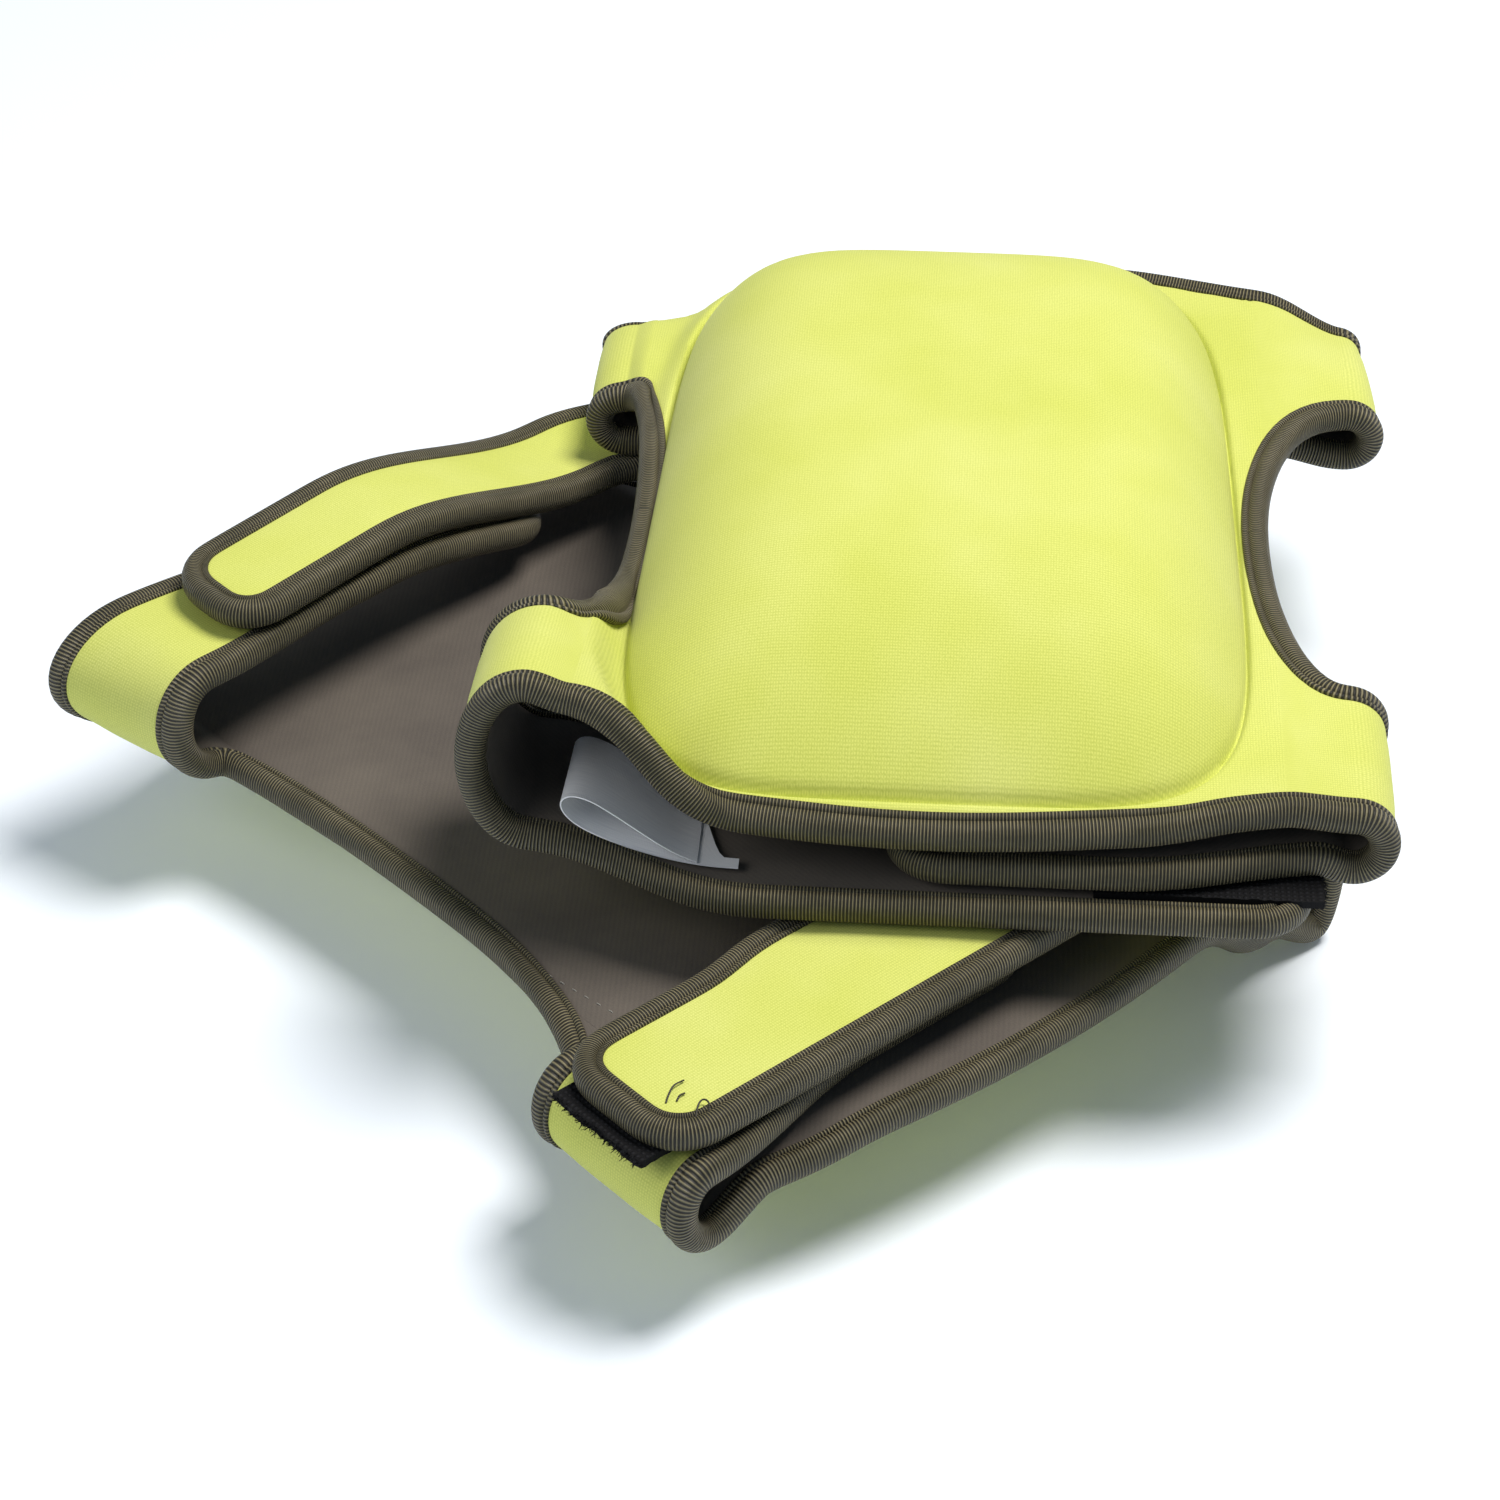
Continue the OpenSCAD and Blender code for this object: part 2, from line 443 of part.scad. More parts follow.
// Lower pad: straps up to the lines where their ends peel up, and the flaps.
function strap_rows(b, q) = concat(steps(b[4], b[4] - 50, 5), steps(b[4] - 65, q, 5));
function end_rows(b, q) = concat(steps(q, tip_r + 4 - b[12], 4), tip_rows(b));
function flap_rows(b) = concat(steps(b[4], tip_r + 4 - b[12], 8), tip_rows(b));
module lower_strap(b, q) {
    color(green) lower() sheet(b, concat(wing_rows, [for (r = fold_rows) if (r[1] > 0) r],
        [for (r = strap_rows(b, q)) if (r[1] < b[4]) r]));
}
module lower_strap_edge(b, q, s) {
    rows = concat(fold_rows, [for (r = strap_rows(b, q)) if (r[1] < b[4]) r]);
    color(dark) lower() long_edge(b, rows, s);
}
module lower_end(b, q) {
    color(green) lower() sheet(b, end_rows(b, q));
}
module lower_end_binding(b, q) {
    color(dark) lower() band_binding(b, end_rows(b, q));
}
module lower_flap(b) {
    color(green) lower() sheet(b, concat(wing_rows, [for (r = fold_rows) if (r[1] > 0) r],
        [for (r = flap_rows(b)) if (r[1] < b[4]) r]));
}
module lower_flap_binding(b) {
    color(dark) lower() band_binding(b, concat(fold_rows,
        [for (r = flap_rows(b)) if (r[1] < b[4]) r]));
}
module lower_calf_strap() lower_strap(lower_calf_strap_band, calf_peel);
module lower_thigh_strap() lower_strap(lower_thigh_strap_band, thigh_peel);
module lower_calf_strap_inner_binding() lower_strap_edge(lower_calf_strap_band, calf_peel, 1);
module lower_calf_strap_outer_binding() lower_strap_edge(lower_calf_strap_band, calf_peel, -1);
module lower_thigh_strap_inner_binding() lower_strap_edge(lower_thigh_strap_band, thigh_peel, 1);
module lower_thigh_strap_outer_binding() lower_strap_edge(lower_thigh_strap_band, thigh_peel, -1);
module lower_calf_flap() lower_flap(lower_calf_flap_band);
module lower_thigh_flap() lower_flap(lower_thigh_flap_band);
module lower_calf_flap_binding() lower_flap_binding(lower_calf_flap_band);
module lower_thigh_flap_binding() lower_flap_binding(lower_thigh_flap_band);
module lower_calf_strap_end() lower_end(lower_calf_strap_band, calf_peel);
module lower_thigh_strap_end() lower_end(lower_thigh_strap_band, thigh_peel);
module lower_calf_strap_end_binding() lower_end_binding(lower_calf_strap_band, calf_peel);
module lower_thigh_strap_end_binding() lower_end_binding(lower_thigh_strap_band, thigh_peel);
module lower_calf_hook_tape() color(black) lower()
    hook(lower_calf_strap_band, calf_peel - 3, 9 - lower_calf_past, 0.25, 0.66);
module lower_thigh_hook_tape() color(black) lower()
    hook(lower_thigh_strap_band, thigh_peel - 4, 9 - lower_thigh_past, 0.32, 0.55);

upper_cushion_cover();
upper_foam_core();
upper_lining();
upper_calf_edge_binding();
upper_thigh_edge_binding();
upper_strap_side_binding();
upper_flap_side_binding();
upper_calf_strap_wing();
upper_thigh_strap_wing();
upper_calf_flap_wing();
upper_thigh_flap_wing();
upper_calf_strap_fold();
upper_thigh_strap_fold();
upper_calf_flap_fold();
upper_thigh_flap_fold();
upper_calf_strap();
upper_thigh_strap();
upper_calf_strap_binding();
upper_thigh_strap_binding();
upper_calf_hook_tape();
upper_thigh_hook_tape();
upper_calf_flap();
upper_thigh_flap();
upper_calf_flap_binding();
upper_thigh_flap_binding();
care_label();
lower_cushion_cover();
lower_foam_core();
lower_lining();
lower_calf_edge_binding();
lower_thigh_edge_binding();
lower_strap_side_binding();
lower_flap_side_binding();
lower_calf_strap();
lower_thigh_strap();
lower_calf_flap();
lower_thigh_flap();
lower_calf_strap_inner_binding();
lower_calf_strap_outer_binding();
lower_thigh_strap_inner_binding();
lower_thigh_strap_outer_binding();
lower_calf_flap_binding();
lower_thigh_flap_binding();
lower_calf_strap_end();
lower_thigh_strap_end();
lower_calf_strap_end_binding();
lower_thigh_strap_end_binding();
lower_calf_hook_tape();
lower_thigh_hook_tape();
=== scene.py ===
"""A pair of neoprene knee pads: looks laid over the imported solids.

The lower pad lies lining up with its straps folded over, the upper pad lies cushion up on it.
Lengths are in millimetres in pad axes (x across the leg, y along the leg, z out of the cushion),
and become metres in the shared frame when a piece is made.
"""

import math

import bmesh
import bpy
import numpy as np
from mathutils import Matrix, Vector


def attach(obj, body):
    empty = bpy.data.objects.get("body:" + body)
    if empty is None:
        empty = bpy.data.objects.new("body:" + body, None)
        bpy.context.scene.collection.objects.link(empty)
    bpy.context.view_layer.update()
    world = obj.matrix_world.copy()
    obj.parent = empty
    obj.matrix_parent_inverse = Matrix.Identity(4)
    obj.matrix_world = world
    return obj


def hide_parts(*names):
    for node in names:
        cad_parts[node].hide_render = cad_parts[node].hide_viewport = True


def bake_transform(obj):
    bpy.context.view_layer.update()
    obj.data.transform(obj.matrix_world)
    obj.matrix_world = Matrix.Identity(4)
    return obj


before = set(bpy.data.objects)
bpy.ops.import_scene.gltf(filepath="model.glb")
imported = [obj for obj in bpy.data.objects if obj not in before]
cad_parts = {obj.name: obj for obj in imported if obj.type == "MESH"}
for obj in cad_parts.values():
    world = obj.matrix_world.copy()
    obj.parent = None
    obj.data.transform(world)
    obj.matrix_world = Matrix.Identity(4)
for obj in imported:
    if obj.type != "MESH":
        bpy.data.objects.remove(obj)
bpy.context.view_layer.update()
rng = np.random.default_rng(7)

# Sizes of the pads, as in the solids
PANEL_HALF, CALF_EDGE, THIGH_EDGE, SHEET_T = 76.0, 117.0, 126.0, 5.0
CUSHION_H, CUSHION_SQUARE, CUSHION_FLAT = 28.0, 4.8, 4.6
CALF_W, THIGH_W, FLAP_PAST, STRAP_PAST, TIP_R = 47.0, 52.0, 8.0, 82.0, 12.0
TAPE_T, TAPE_FIT, LOWER_TURN, SLACK = 1.0, 0.1, 45.0, 11.0
HALF_T = SHEET_T / 2
RIM_T = HALF_T + TAPE_FIT + TAPE_T
LAYER_GAP = 0.3
LEVEL = 2 * RIM_T + LAYER_GAP
CALF_RIM, THIGH_RIM, BOW = 8.5, 9.0, 9.0
CUSHION_HALF = PANEL_HALF - 7.5
CUSHION_MID = (THIGH_EDGE - THIGH_RIM - CALF_EDGE + CALF_RIM) / 2
CUSHION_LONG = (THIGH_EDGE - THIGH_RIM + CALF_EDGE - CALF_RIM) / 2
CALF_IN = CALF_EDGE - BOW - CALF_W
THIGH_IN = THIGH_EDGE - BOW - 2 - THIGH_W
LOWER_Z = CUSHION_H + HALF_T - 0.5
UPPER_Z = LOWER_Z + 4 * LEVEL + SLACK
LOWER_AT = np.array([-0.695, -13.19, LOWER_Z])
UPPER_AT = np.array([50.305, 35.81, UPPER_Z])
DROP = -SLACK - LEVEL
FLOOR_Z = LOWER_Z - HALF_T - 0.5 - TAPE_T - LAYER_GAP
# Where the lower straps start to peel, measured across the leg from the middle
THIGH_PEEL, CALF_PEEL = -34.0, -54.0

# How the soft pads lie. Corner lifts: strap calf, flap calf, strap thigh, flap thigh
UPPER_LIFT = (21, 1, -5, -1)
LOWER_LIFT = (16, 3, 4.5, 0)
FAR_ROUND, FAR_ROLL, NEAR_HANG = 4.0, 10.0, 3.4
STRAP_CORNER_HANG, FLAP_CORNER_HANG = 2.5, 4.5
CUSHION_TAPER, CUSHION_LEAN = 0.04, 0.18
GROOVE_DEEP, GROOVE_WIDE = 1.8, 0.009
PINCH, PUFF, STRAP_CUT_IN = 0.45, 0.3, 4.2
# The corner lifts start at these shares of the half width, and grow along the leg past LIFT_CLEAR
LIFT_START, LATE_START, LIFT_CLEAR, LIFT_RUN = 0.53, 0.82, 20, 80
# The length over which a band's edges shift after its fold
SHIFT_RUN = 50


# Small helpers
def ss(a, b, x):
    """Smooth step from 0 at a to 1 at b."""
    t = np.clip((np.asarray(x, float) - a) / (b - a), 0, 1)
    return t * t * (3 - 2 * t)


def lerp(a, b, t):
    return a + (b - a) * t


def unit(v):
    v = np.asarray(v, float)
    return v / np.maximum(np.linalg.norm(v, axis=-1, keepdims=True), 1e-9)


def upper(p):
    """From the upper pad's axes to the shared frame."""
    return (np.asarray(p, float) + UPPER_AT) / 1000


def lower(p):
    """From the lower pad's axes to the shared frame, turned over and round."""
    a = math.radians(LOWER_TURN)
    c, s = math.cos(a), math.sin(a)
    q = np.asarray(p, float) * [-1, 1, -1]
    turn = np.array([[c, -s, 0], [s, c, 0], [0, 0, 1]])
    return (q @ turn.T + LOWER_AT) / 1000


# The panel: outline, corner lifts and cushion
def rho(x, y):
    """How far out a point lies from the middle of the cushion: 1 at its foot."""
    half = CUSHION_HALF * (1 - CUSHION_TAPER * (y - CUSHION_MID) / CUSHION_LONG)
    n = CUSHION_SQUARE
    return (np.abs(x / half) ** n + np.abs((y - CUSHION_MID) / CUSHION_LONG) ** n) ** (1 / n)


def edge_y(x, leg, lifts):
    """The bowed edge of the panel at the calf (leg -1) or the thigh (leg 1)."""
    q = np.asarray(x, float) / PANEL_HALF
    if leg < 0:
        return -(CALF_EDGE - BOW * q * q)
    rounded = FAR_ROUND * ss(0.55, 1.0, -q) if lifts is UPPER_LIFT else 0.0
    return THIGH_EDGE - BOW * q * q - rounded


def sag(x, y):
    """How far the far corners, the far strap-side edge and the near edge of the upper pad hang down."""
    x, y = np.asarray(x, float), np.asarray(y, float)
    corners = (STRAP_CORNER_HANG * ss(30, 78, -x) + FLAP_CORNER_HANG * ss(76, 100, x)) * ss(80, 118, y)
    edge = edge_y(np.clip(x, -PANEL_HALF, PANEL_HALF), 1, UPPER_LIFT)
    rolled = FAR_ROLL * ss(15, 45, -x) * (1 - 0.5 * ss(70, 80, -x)) * ss(-13, 0, y - edge)
    near = NEAR_HANG * ss(-75, -35, x) * ss(-66, -44, -x) * ss(100, 116, -y)
    return corners + rolled + near


def lift(x, y, lifts):
    """Height of the panel's rim, lifted or lowered towards its corners."""
    x, y = np.broadcast_arrays(np.asarray(x, float), np.asarray(y, float))
    corner = np.where(x > 0, np.where(y > 0, lifts[3], lifts[1]), np.where(y > 0, lifts[2], lifts[0]))
    start = np.where((lifts is LOWER_LIFT) & (x < 0) & (y > 0), LATE_START, LIFT_START)
    across = np.clip((np.abs(x) / PANEL_HALF - start) / (1 - start), 0, 1)
    z = corner * np.maximum(0, np.abs(y) - LIFT_CLEAR) / LIFT_RUN * ss(0, 1, across)
    return z - sag(x, y) if lifts is UPPER_LIFT else z


def flange_z(x, y, lifts):
    """Height of the middle of the sheet, flat under the cushion."""
    return lift(x, y, lifts) * ss(1.0, 1.1, rho(x, y))


def flange_n(x, y, lifts):
    """Direction out of the panel's green face."""
    d = 0.2
    zx = (flange_z(x + d, y, lifts) - flange_z(x - d, y, lifts)) / (2 * d)
    zy = (flange_z(x, y + d, lifts) - flange_z(x, y - d, lifts)) / (2 * d)
    return unit(np.stack([-zx, -zy, np.ones_like(zx)], -1))


def pinch(d):
    """Half thickness of the sheet at a distance from a bound edge."""
    return HALF_T - PINCH * (1 - ss(3.2, 6.0, d))


def dome_z(x, y, cut, half_t):
    """Height of the cushion over the middle of the sheet, with a pressed groove at its foot."""
    r = rho(x, y)
    up = np.hypot(x, y - CUSHION_MID)
    fall = CUSHION_FLAT * (1 + CUSHION_LEAN * (y - CUSHION_MID) / np.maximum(up, 1e-6))
    bulge = CUSHION_H * (1 - np.minimum(r, 1) ** fall)
    groove = GROOVE_DEEP * np.exp(-((r - 1.0) / GROOVE_WIDE) ** 2)
    return np.minimum(half_t + bulge, cut) - groove


# The bands: a wing off the panel, a side fold, and the part that lies flat
class Band:
    """A strap or a flap, described by rows: kind 0 on the wing, 1 round the fold, 2 on the lying arm.

    side, leg: which corner of the panel it leaves; inner, width: its place along the leg
    fold_at, reach, extra: where it folds, how far the fold bulges, and the bulge's change across it
    tops, bottom: heights of the fold above and below; lie, come: height of the arm and where it settles
    past: reach of the tip beyond the middle; shifts, slant, neck: how its edges run along the arm
    rise: a climb over what lies under it; bite: how far its cut-out reaches into the panel
    round_off: how late the wing's outer edge turns in
    """

    def __init__(self, side, leg, inner, width, fold_at, reach, tops, bottom, lie, come, past,
                 shifts=(0, 0), rise=(0, 0, 1), lifts=UPPER_LIFT, slant=0.0, extra=0.0, neck=0.0,
                 bite=1.0, round_off=1.0):
        self.side, self.leg, self.inner, self.width = side, leg, inner, width
        self.fold_at, self.reach, self.tops, self.bottom = fold_at, reach, tops, bottom
        self.lie, self.come, self.past, self.shifts = lie, come, past, shifts
        self.rise, self.lifts, self.slant, self.extra, self.neck = rise, lifts, slant, extra, neck
        self.bite, self.round_off = bite, round_off
        self.span = fold_at - PANEL_HALF

    def top(self, y):
        """Height of the top of the fold."""
        z = lerp(self.tops[0], self.tops[1], (y - self.inner) / self.width)
        return z - sag(self.side * self.fold_at, self.leg * y) if self.lifts is UPPER_LIFT else z

    def reach_at(self, y):
        """How far the fold bulges past the line where it starts."""
        return self.reach + self.extra * (y - self.inner) / self.width

    def arm_z(self, q):
        """Height of the arm at a distance across the leg."""
        down = (self.bottom - self.lie) * ss(self.come[0], self.come[1], q)
        return self.lie + down + self.rise[0] * ss(self.rise[1], self.rise[2], -q)

    def mid(self, kind, v, y):
        """Middle of the sheet."""
        y = np.asarray(y, float)
        root = lift(self.side * PANEL_HALF, self.leg * y, self.lifts)
        top = self.top(y)
        if kind == 0:
            x = lerp(PANEL_HALF, self.fold_at, v) + 0 * y
            z = root + (top - root) * v * v * (3 - 2 * v)
        elif kind == 1:
            a = math.radians(v)
            x = self.fold_at + self.reach_at(y) * math.sin(a)
            z = lerp(self.bottom, top, (1 + math.cos(a)) / 2)
        else:
            x, z = v + 0 * y, self.arm_z(v) + 0 * y
        return np.stack([self.side * x, self.leg * y, z], -1)

    def nrm(self, kind, v, y):
        """Direction out of the green face."""
        y = np.asarray(y, float)
        root = lift(self.side * PANEL_HALF, self.leg * y, self.lifts)
        top = self.top(y)
        if kind == 0:
            w = self.span
            k = np.minimum(1, 0.8 * w * w / (24 * np.maximum(np.abs(top - root), 0.01)))
            nx, nz = -k * (top - root) * 6 * v * (1 - v) / w, 1 + 0 * y
        elif kind == 1:
            a = math.radians(v)
            nx, nz = math.sin(a) / self.reach_at(y), 2 * math.cos(a) / (top - self.bottom)
        else:
            slope = (self.arm_z(v + 0.05) - self.arm_z(v - 0.05)) / 0.1
            nx, nz = slope + 0 * y, -1 + 0 * y
        return unit(np.stack([self.side * nx, 0 * y, nz], -1))

    def tip_inset(self, q):
        """How far the rounded tip comes in from each edge."""
        e = max(0.0, q + self.past)
        return 0.0 if e >= TIP_R else TIP_R - math.sqrt(TIP_R ** 2 - (TIP_R - e) ** 2)

    def moved(self, q):
        """Share of the edge shifts, and the slant, at a distance across the leg."""
        span = self.fold_at - SHIFT_RUN
        slanted = self.slant * max(0.0, span - q) / (span + self.past)
        return float(ss(0, SHIFT_RUN, self.fold_at - q)), slanted

    def inner_y(self, kind, v):
        """The edge beside the cut-out, along the leg."""
        if kind == 0:
            share = (1 - v) * self.span / (self.span + self.bite)
            return self.inner * math.sqrt(1 - share ** 2)
        if kind == 1:
            return self.inner
        s, t = self.moved(v)
        neck = self.neck * float(ss(42, 62, -v))
        return self.inner + self.shifts[0] * s + t + self.tip_inset(v) + neck

    def outer_y(self, kind, v):
        """The edge at the end of the pad, along the leg."""
        if kind == 0:
            edge = abs(float(edge_y(self.side * PANEL_HALF, self.leg, self.lifts)))
            return lerp(edge, self.inner + self.width, v ** self.round_off)
        if kind == 1:
            return self.inner + self.width
        s, t = self.moved(v)
        return self.inner + self.width + self.shifts[1] * s + t - self.tip_inset(v)

    def cut_x(self, y):
        """Where the cut-out beside this band reaches into the panel, across the leg."""
        share = np.sqrt(np.maximum(0, 1 - (np.abs(y) / self.inner) ** 2))
        return np.minimum(PANEL_HALF, self.fold_at - (self.span + self.bite) * share)

    def cut_distance(self, x, y):
        """Distance of a point from the edge of the cut-out beside this band."""
        span = self.span + self.bite
        share = (self.fold_at - np.abs(x)) / span
        r = np.hypot(share, np.abs(y) / self.inner)
        return (r - 1) * r / np.maximum(np.hypot(share / span, np.abs(y) / self.inner ** 2), 1e-6)

    def half_t(self, kind, v, y):
        """Half thickness of the sheet, thinner under the edge tape."""
        d = self.outer_y(kind, v) - y
        if kind == 0:
            d = np.minimum(d, self.cut_distance(lerp(PANEL_HALF, self.fold_at, v), y))
        else:
            d = np.minimum(d, y - self.inner_y(kind, v))
        return pinch(np.minimum(d, v + self.past) if kind == 2 else d)

    def wing_rows(self):
        return [(0, v) for v in (0, .004, .012, .025, .04, .06, .085, .12, .16, .21, .27, .34, .42, .51,
                                 .6, .7, .8, .9, 1)]

    def fold_rows(self):
        return [(1, a) for a in np.arange(7.5, 180, 7.5)]

    def arm_rows(self):
        lying = [(2, q) for q in np.linspace(self.fold_at, TIP_R - self.past, 56)]
        ends = (.85, .7, .55, .42, .3, .2, .12, .06, .02, 0)
        return lying + [(2, e * TIP_R - self.past) for e in ends]

    def rows(self):
        return self.wing_rows() + self.fold_rows() + self.arm_rows()


H = PANEL_HALF
BANDS = {
    "upper_calf_strap": Band(
        side=-1, leg=-1, inner=CALF_IN, width=CALF_W, fold_at=H + 10, reach=12, tops=(16, 26),
        bottom=DROP + 5, lie=DROP, come=(44, 88), past=STRAP_PAST, shifts=(8, 14), bite=STRAP_CUT_IN),
    "upper_thigh_strap": Band(
        side=-1, leg=1, inner=THIGH_IN, width=THIGH_W - 7, fold_at=H + 5, reach=6.5, tops=(-6, -7),
        bottom=DROP, lie=DROP, come=(40, 80), past=STRAP_PAST - 2, shifts=(6, 0), bite=STRAP_CUT_IN),
    "upper_calf_flap": Band(
        side=1, leg=-1, inner=CALF_IN, width=CALF_W, fold_at=H + 15, reach=6.5, tops=(0, 0),
        bottom=-SLACK - 2.5, lie=-SLACK, come=(H + 8, H + 14), past=FLAP_PAST, shifts=(6, 9)),
    "upper_thigh_flap": Band(
        side=1, leg=1, inner=THIGH_IN - 3, width=THIGH_W - 1, fold_at=H + 22, reach=6, tops=(-2, -4),
        bottom=-SLACK - 2.5, lie=-SLACK, come=(H + 6, H + 21), past=FLAP_PAST, shifts=(4, -2),
        extra=-3, round_off=2.2),
    "lower_calf_strap": Band(
        side=-1, leg=-1, inner=CALF_IN, width=CALF_W, fold_at=H + 16, reach=12, tops=(12, FLOOR_Z),
        bottom=-2 * LEVEL, lie=-2 * LEVEL, come=(40, 80), past=100, shifts=(3, -3),
        lifts=LOWER_LIFT, extra=-7, neck=3),
    "lower_thigh_strap": Band(
        side=-1, leg=1, inner=THIGH_IN + 5, width=THIGH_W - 4, fold_at=H + 28, reach=12,
        tops=(12, FLOOR_Z), bottom=-2 * LEVEL, lie=-2 * LEVEL, come=(40, 80), past=72, shifts=(32, 15),
        rise=(-19.5, -55, 25), lifts=LOWER_LIFT, slant=-20),
    "lower_calf_flap": Band(
        side=1, leg=-1, inner=CALF_IN, width=CALF_W, fold_at=H + 16, reach=7, tops=(9.5, 9.5),
        bottom=-LEVEL, lie=-LEVEL, come=(40, 80), past=FLAP_PAST, shifts=(0, -8), lifts=LOWER_LIFT),
    "lower_thigh_flap": Band(
        side=1, leg=1, inner=THIGH_IN + 16, width=THIGH_W - 14, fold_at=H + 6, reach=9.5, tops=(-2, -2),
        bottom=-26.8, lie=-LEVEL, come=(-60, 30), past=FLAP_PAST + 22, shifts=(6, -4),
        lifts=LOWER_LIFT, slant=9, extra=9),
}
LIFTS = {"upper": UPPER_LIFT, "lower": LOWER_LIFT}
PEELS = {"lower_calf_strap": CALF_PEEL, "lower_thigh_strap": THIGH_PEEL}


def follow(name, kind, v):
    """How far a row of a band follows its moving end, from 0 to 1."""
    if name.startswith("upper"):
        return 0.0 if kind == 0 else float(ss(0, 180, v)) if kind == 1 else 1.0
    if name in PEELS and kind == 2:
        return float(ss(-8, 8, PEELS[name] - v))
    return 0.0


# Meshes. Points closer than WELD metres become one; edges sharper than CREASE degrees stay sharp
WELD, CREASE = 1e-6, 60


class Shape:
    """Collects grids of points into one closed mesh with texture coordinates in millimetres."""

    def __init__(self):
        self.v, self.f, self.uv, self.m, self.w = [], [], [], [], []

    def grid(self, pts, uv, mat=0, weight=0.0, loop=False, cap=False):
        """Rows of points; loop joins the last row to the first, cap closes the first column."""
        pts, uv = np.asarray(pts, float), np.asarray(uv, float)
        nr, nc = pts.shape[:2]
        base = len(self.v)
        self.v.extend(pts.reshape(-1, 3))
        self.uv.extend(uv.reshape(-1, 2))
        self.w.extend(np.broadcast_to(weight, (nr, nc)).reshape(-1))
        for i in range(nr if loop else nr - 1):
            for j in range(nc - 1):
                a, b = base + i * nc + j, base + (i + 1) % nr * nc + j
                self.face((a, b, b + 1, a + 1), mat)
        if cap:
            self.v.append(pts[:, 0].mean(0))
            self.uv.append(uv[:, 0].mean(0))
            self.w.append(float(np.mean(np.broadcast_to(weight, (nr, nc))[:, 0])))
            for i in range(nr):
                self.face((base + nr * nc, base + (i + 1) % nr * nc, base + i * nc), mat)

    def face(self, corners, mat):
        self.f.append(corners)
        self.m.append(mat)

    def box(self, tops, lows, uvs, mats=(0, 0), weight=0.0):
        """Two facing sheets joined along all four edges."""
        w = np.broadcast_to(weight, tops.shape[:2])
        self.grid(tops, uvs, mats[0], w)
        self.grid(lows, uvs, mats[1], w)
        for j in (0, -1):
            self.grid(np.stack([tops[:, j], lows[:, j]], 1), uvs[:, [j, j]], mats[0], w[:, [j, j]])
            self.grid(np.stack([tops[j], lows[j]], 0), uvs[[j, j]], mats[0], w[[j, j]])

    def tube(self, path, radius, mat=0, sides=6, weight=0.0):
        """A thread along a path, closed at both ends."""
        r = np.pad(np.broadcast_to(radius, (len(path),)), 1)
        path = np.asarray(path, float)
        path = np.concatenate([path[:1], path, path[-1:]])
        t = unit(np.gradient(path, axis=0))
        a = unit(np.cross(t, [0.31, 0.2, 0.93]))
        b = np.cross(t, a)
        ang = np.linspace(0, 2 * math.pi, sides + 1)
        pts = np.stack([path + r[:, None] * (a * math.cos(k) + b * math.sin(k)) for k in ang], 1)
        along, around = run_length(path)[:, None], np.arange(sides + 1.0)[None, :]
        uv = np.stack(np.broadcast_arrays(along, around), -1)
        self.grid(pts, uv, mat, weight)

    def make(self, name, place, mats):
        """Merges doubled points, turns all faces outward and adds the piece to the scene."""
        mesh = bpy.data.meshes.new(name)
        mesh.from_pydata([tuple(p) for p in place(np.array(self.v))], [], self.f)
        layer = mesh.uv_layers.new(name="flat")
        loops = np.zeros(len(mesh.loops), np.int32)
        mesh.loops.foreach_get("vertex_index", loops)
        layer.data.foreach_set("uv", np.array(self.uv, np.float32)[loops].ravel())
        mesh.polygons.foreach_set("material_index", np.array(self.m, np.int32))
        mesh.polygons.foreach_set("use_smooth", np.ones(len(self.f), bool))
        for m in mats:
            mesh.materials.append(m)
        mesh.attributes.new("follow", "FLOAT", "POINT")
        mesh.attributes["follow"].data.foreach_set("value", np.array(self.w, np.float32))
        solid = bmesh.new()
        solid.from_mesh(mesh)
        bmesh.ops.remove_doubles(solid, verts=solid.verts, dist=WELD)
        bmesh.ops.recalc_face_normals(solid, faces=solid.faces)
        solid.to_mesh(mesh)
        solid.free()
        mesh.set_sharp_from_angle(angle=math.radians(CREASE))
        self.w = np.zeros(len(mesh.vertices), np.float32)
        mesh.attributes["follow"].data.foreach_get("value", self.w)
        mesh.attributes.remove(mesh.attributes["follow"])
        obj = bpy.data.objects.new(name, mesh)
        bpy.context.scene.collection.objects.link(obj)
        return obj


def run_length(points):
    """Length along a line of points, from its start."""
    steps = np.linalg.norm(np.diff(np.asarray(points), axis=0), axis=1)
    return np.concatenate([[0], np.cumsum(steps)])


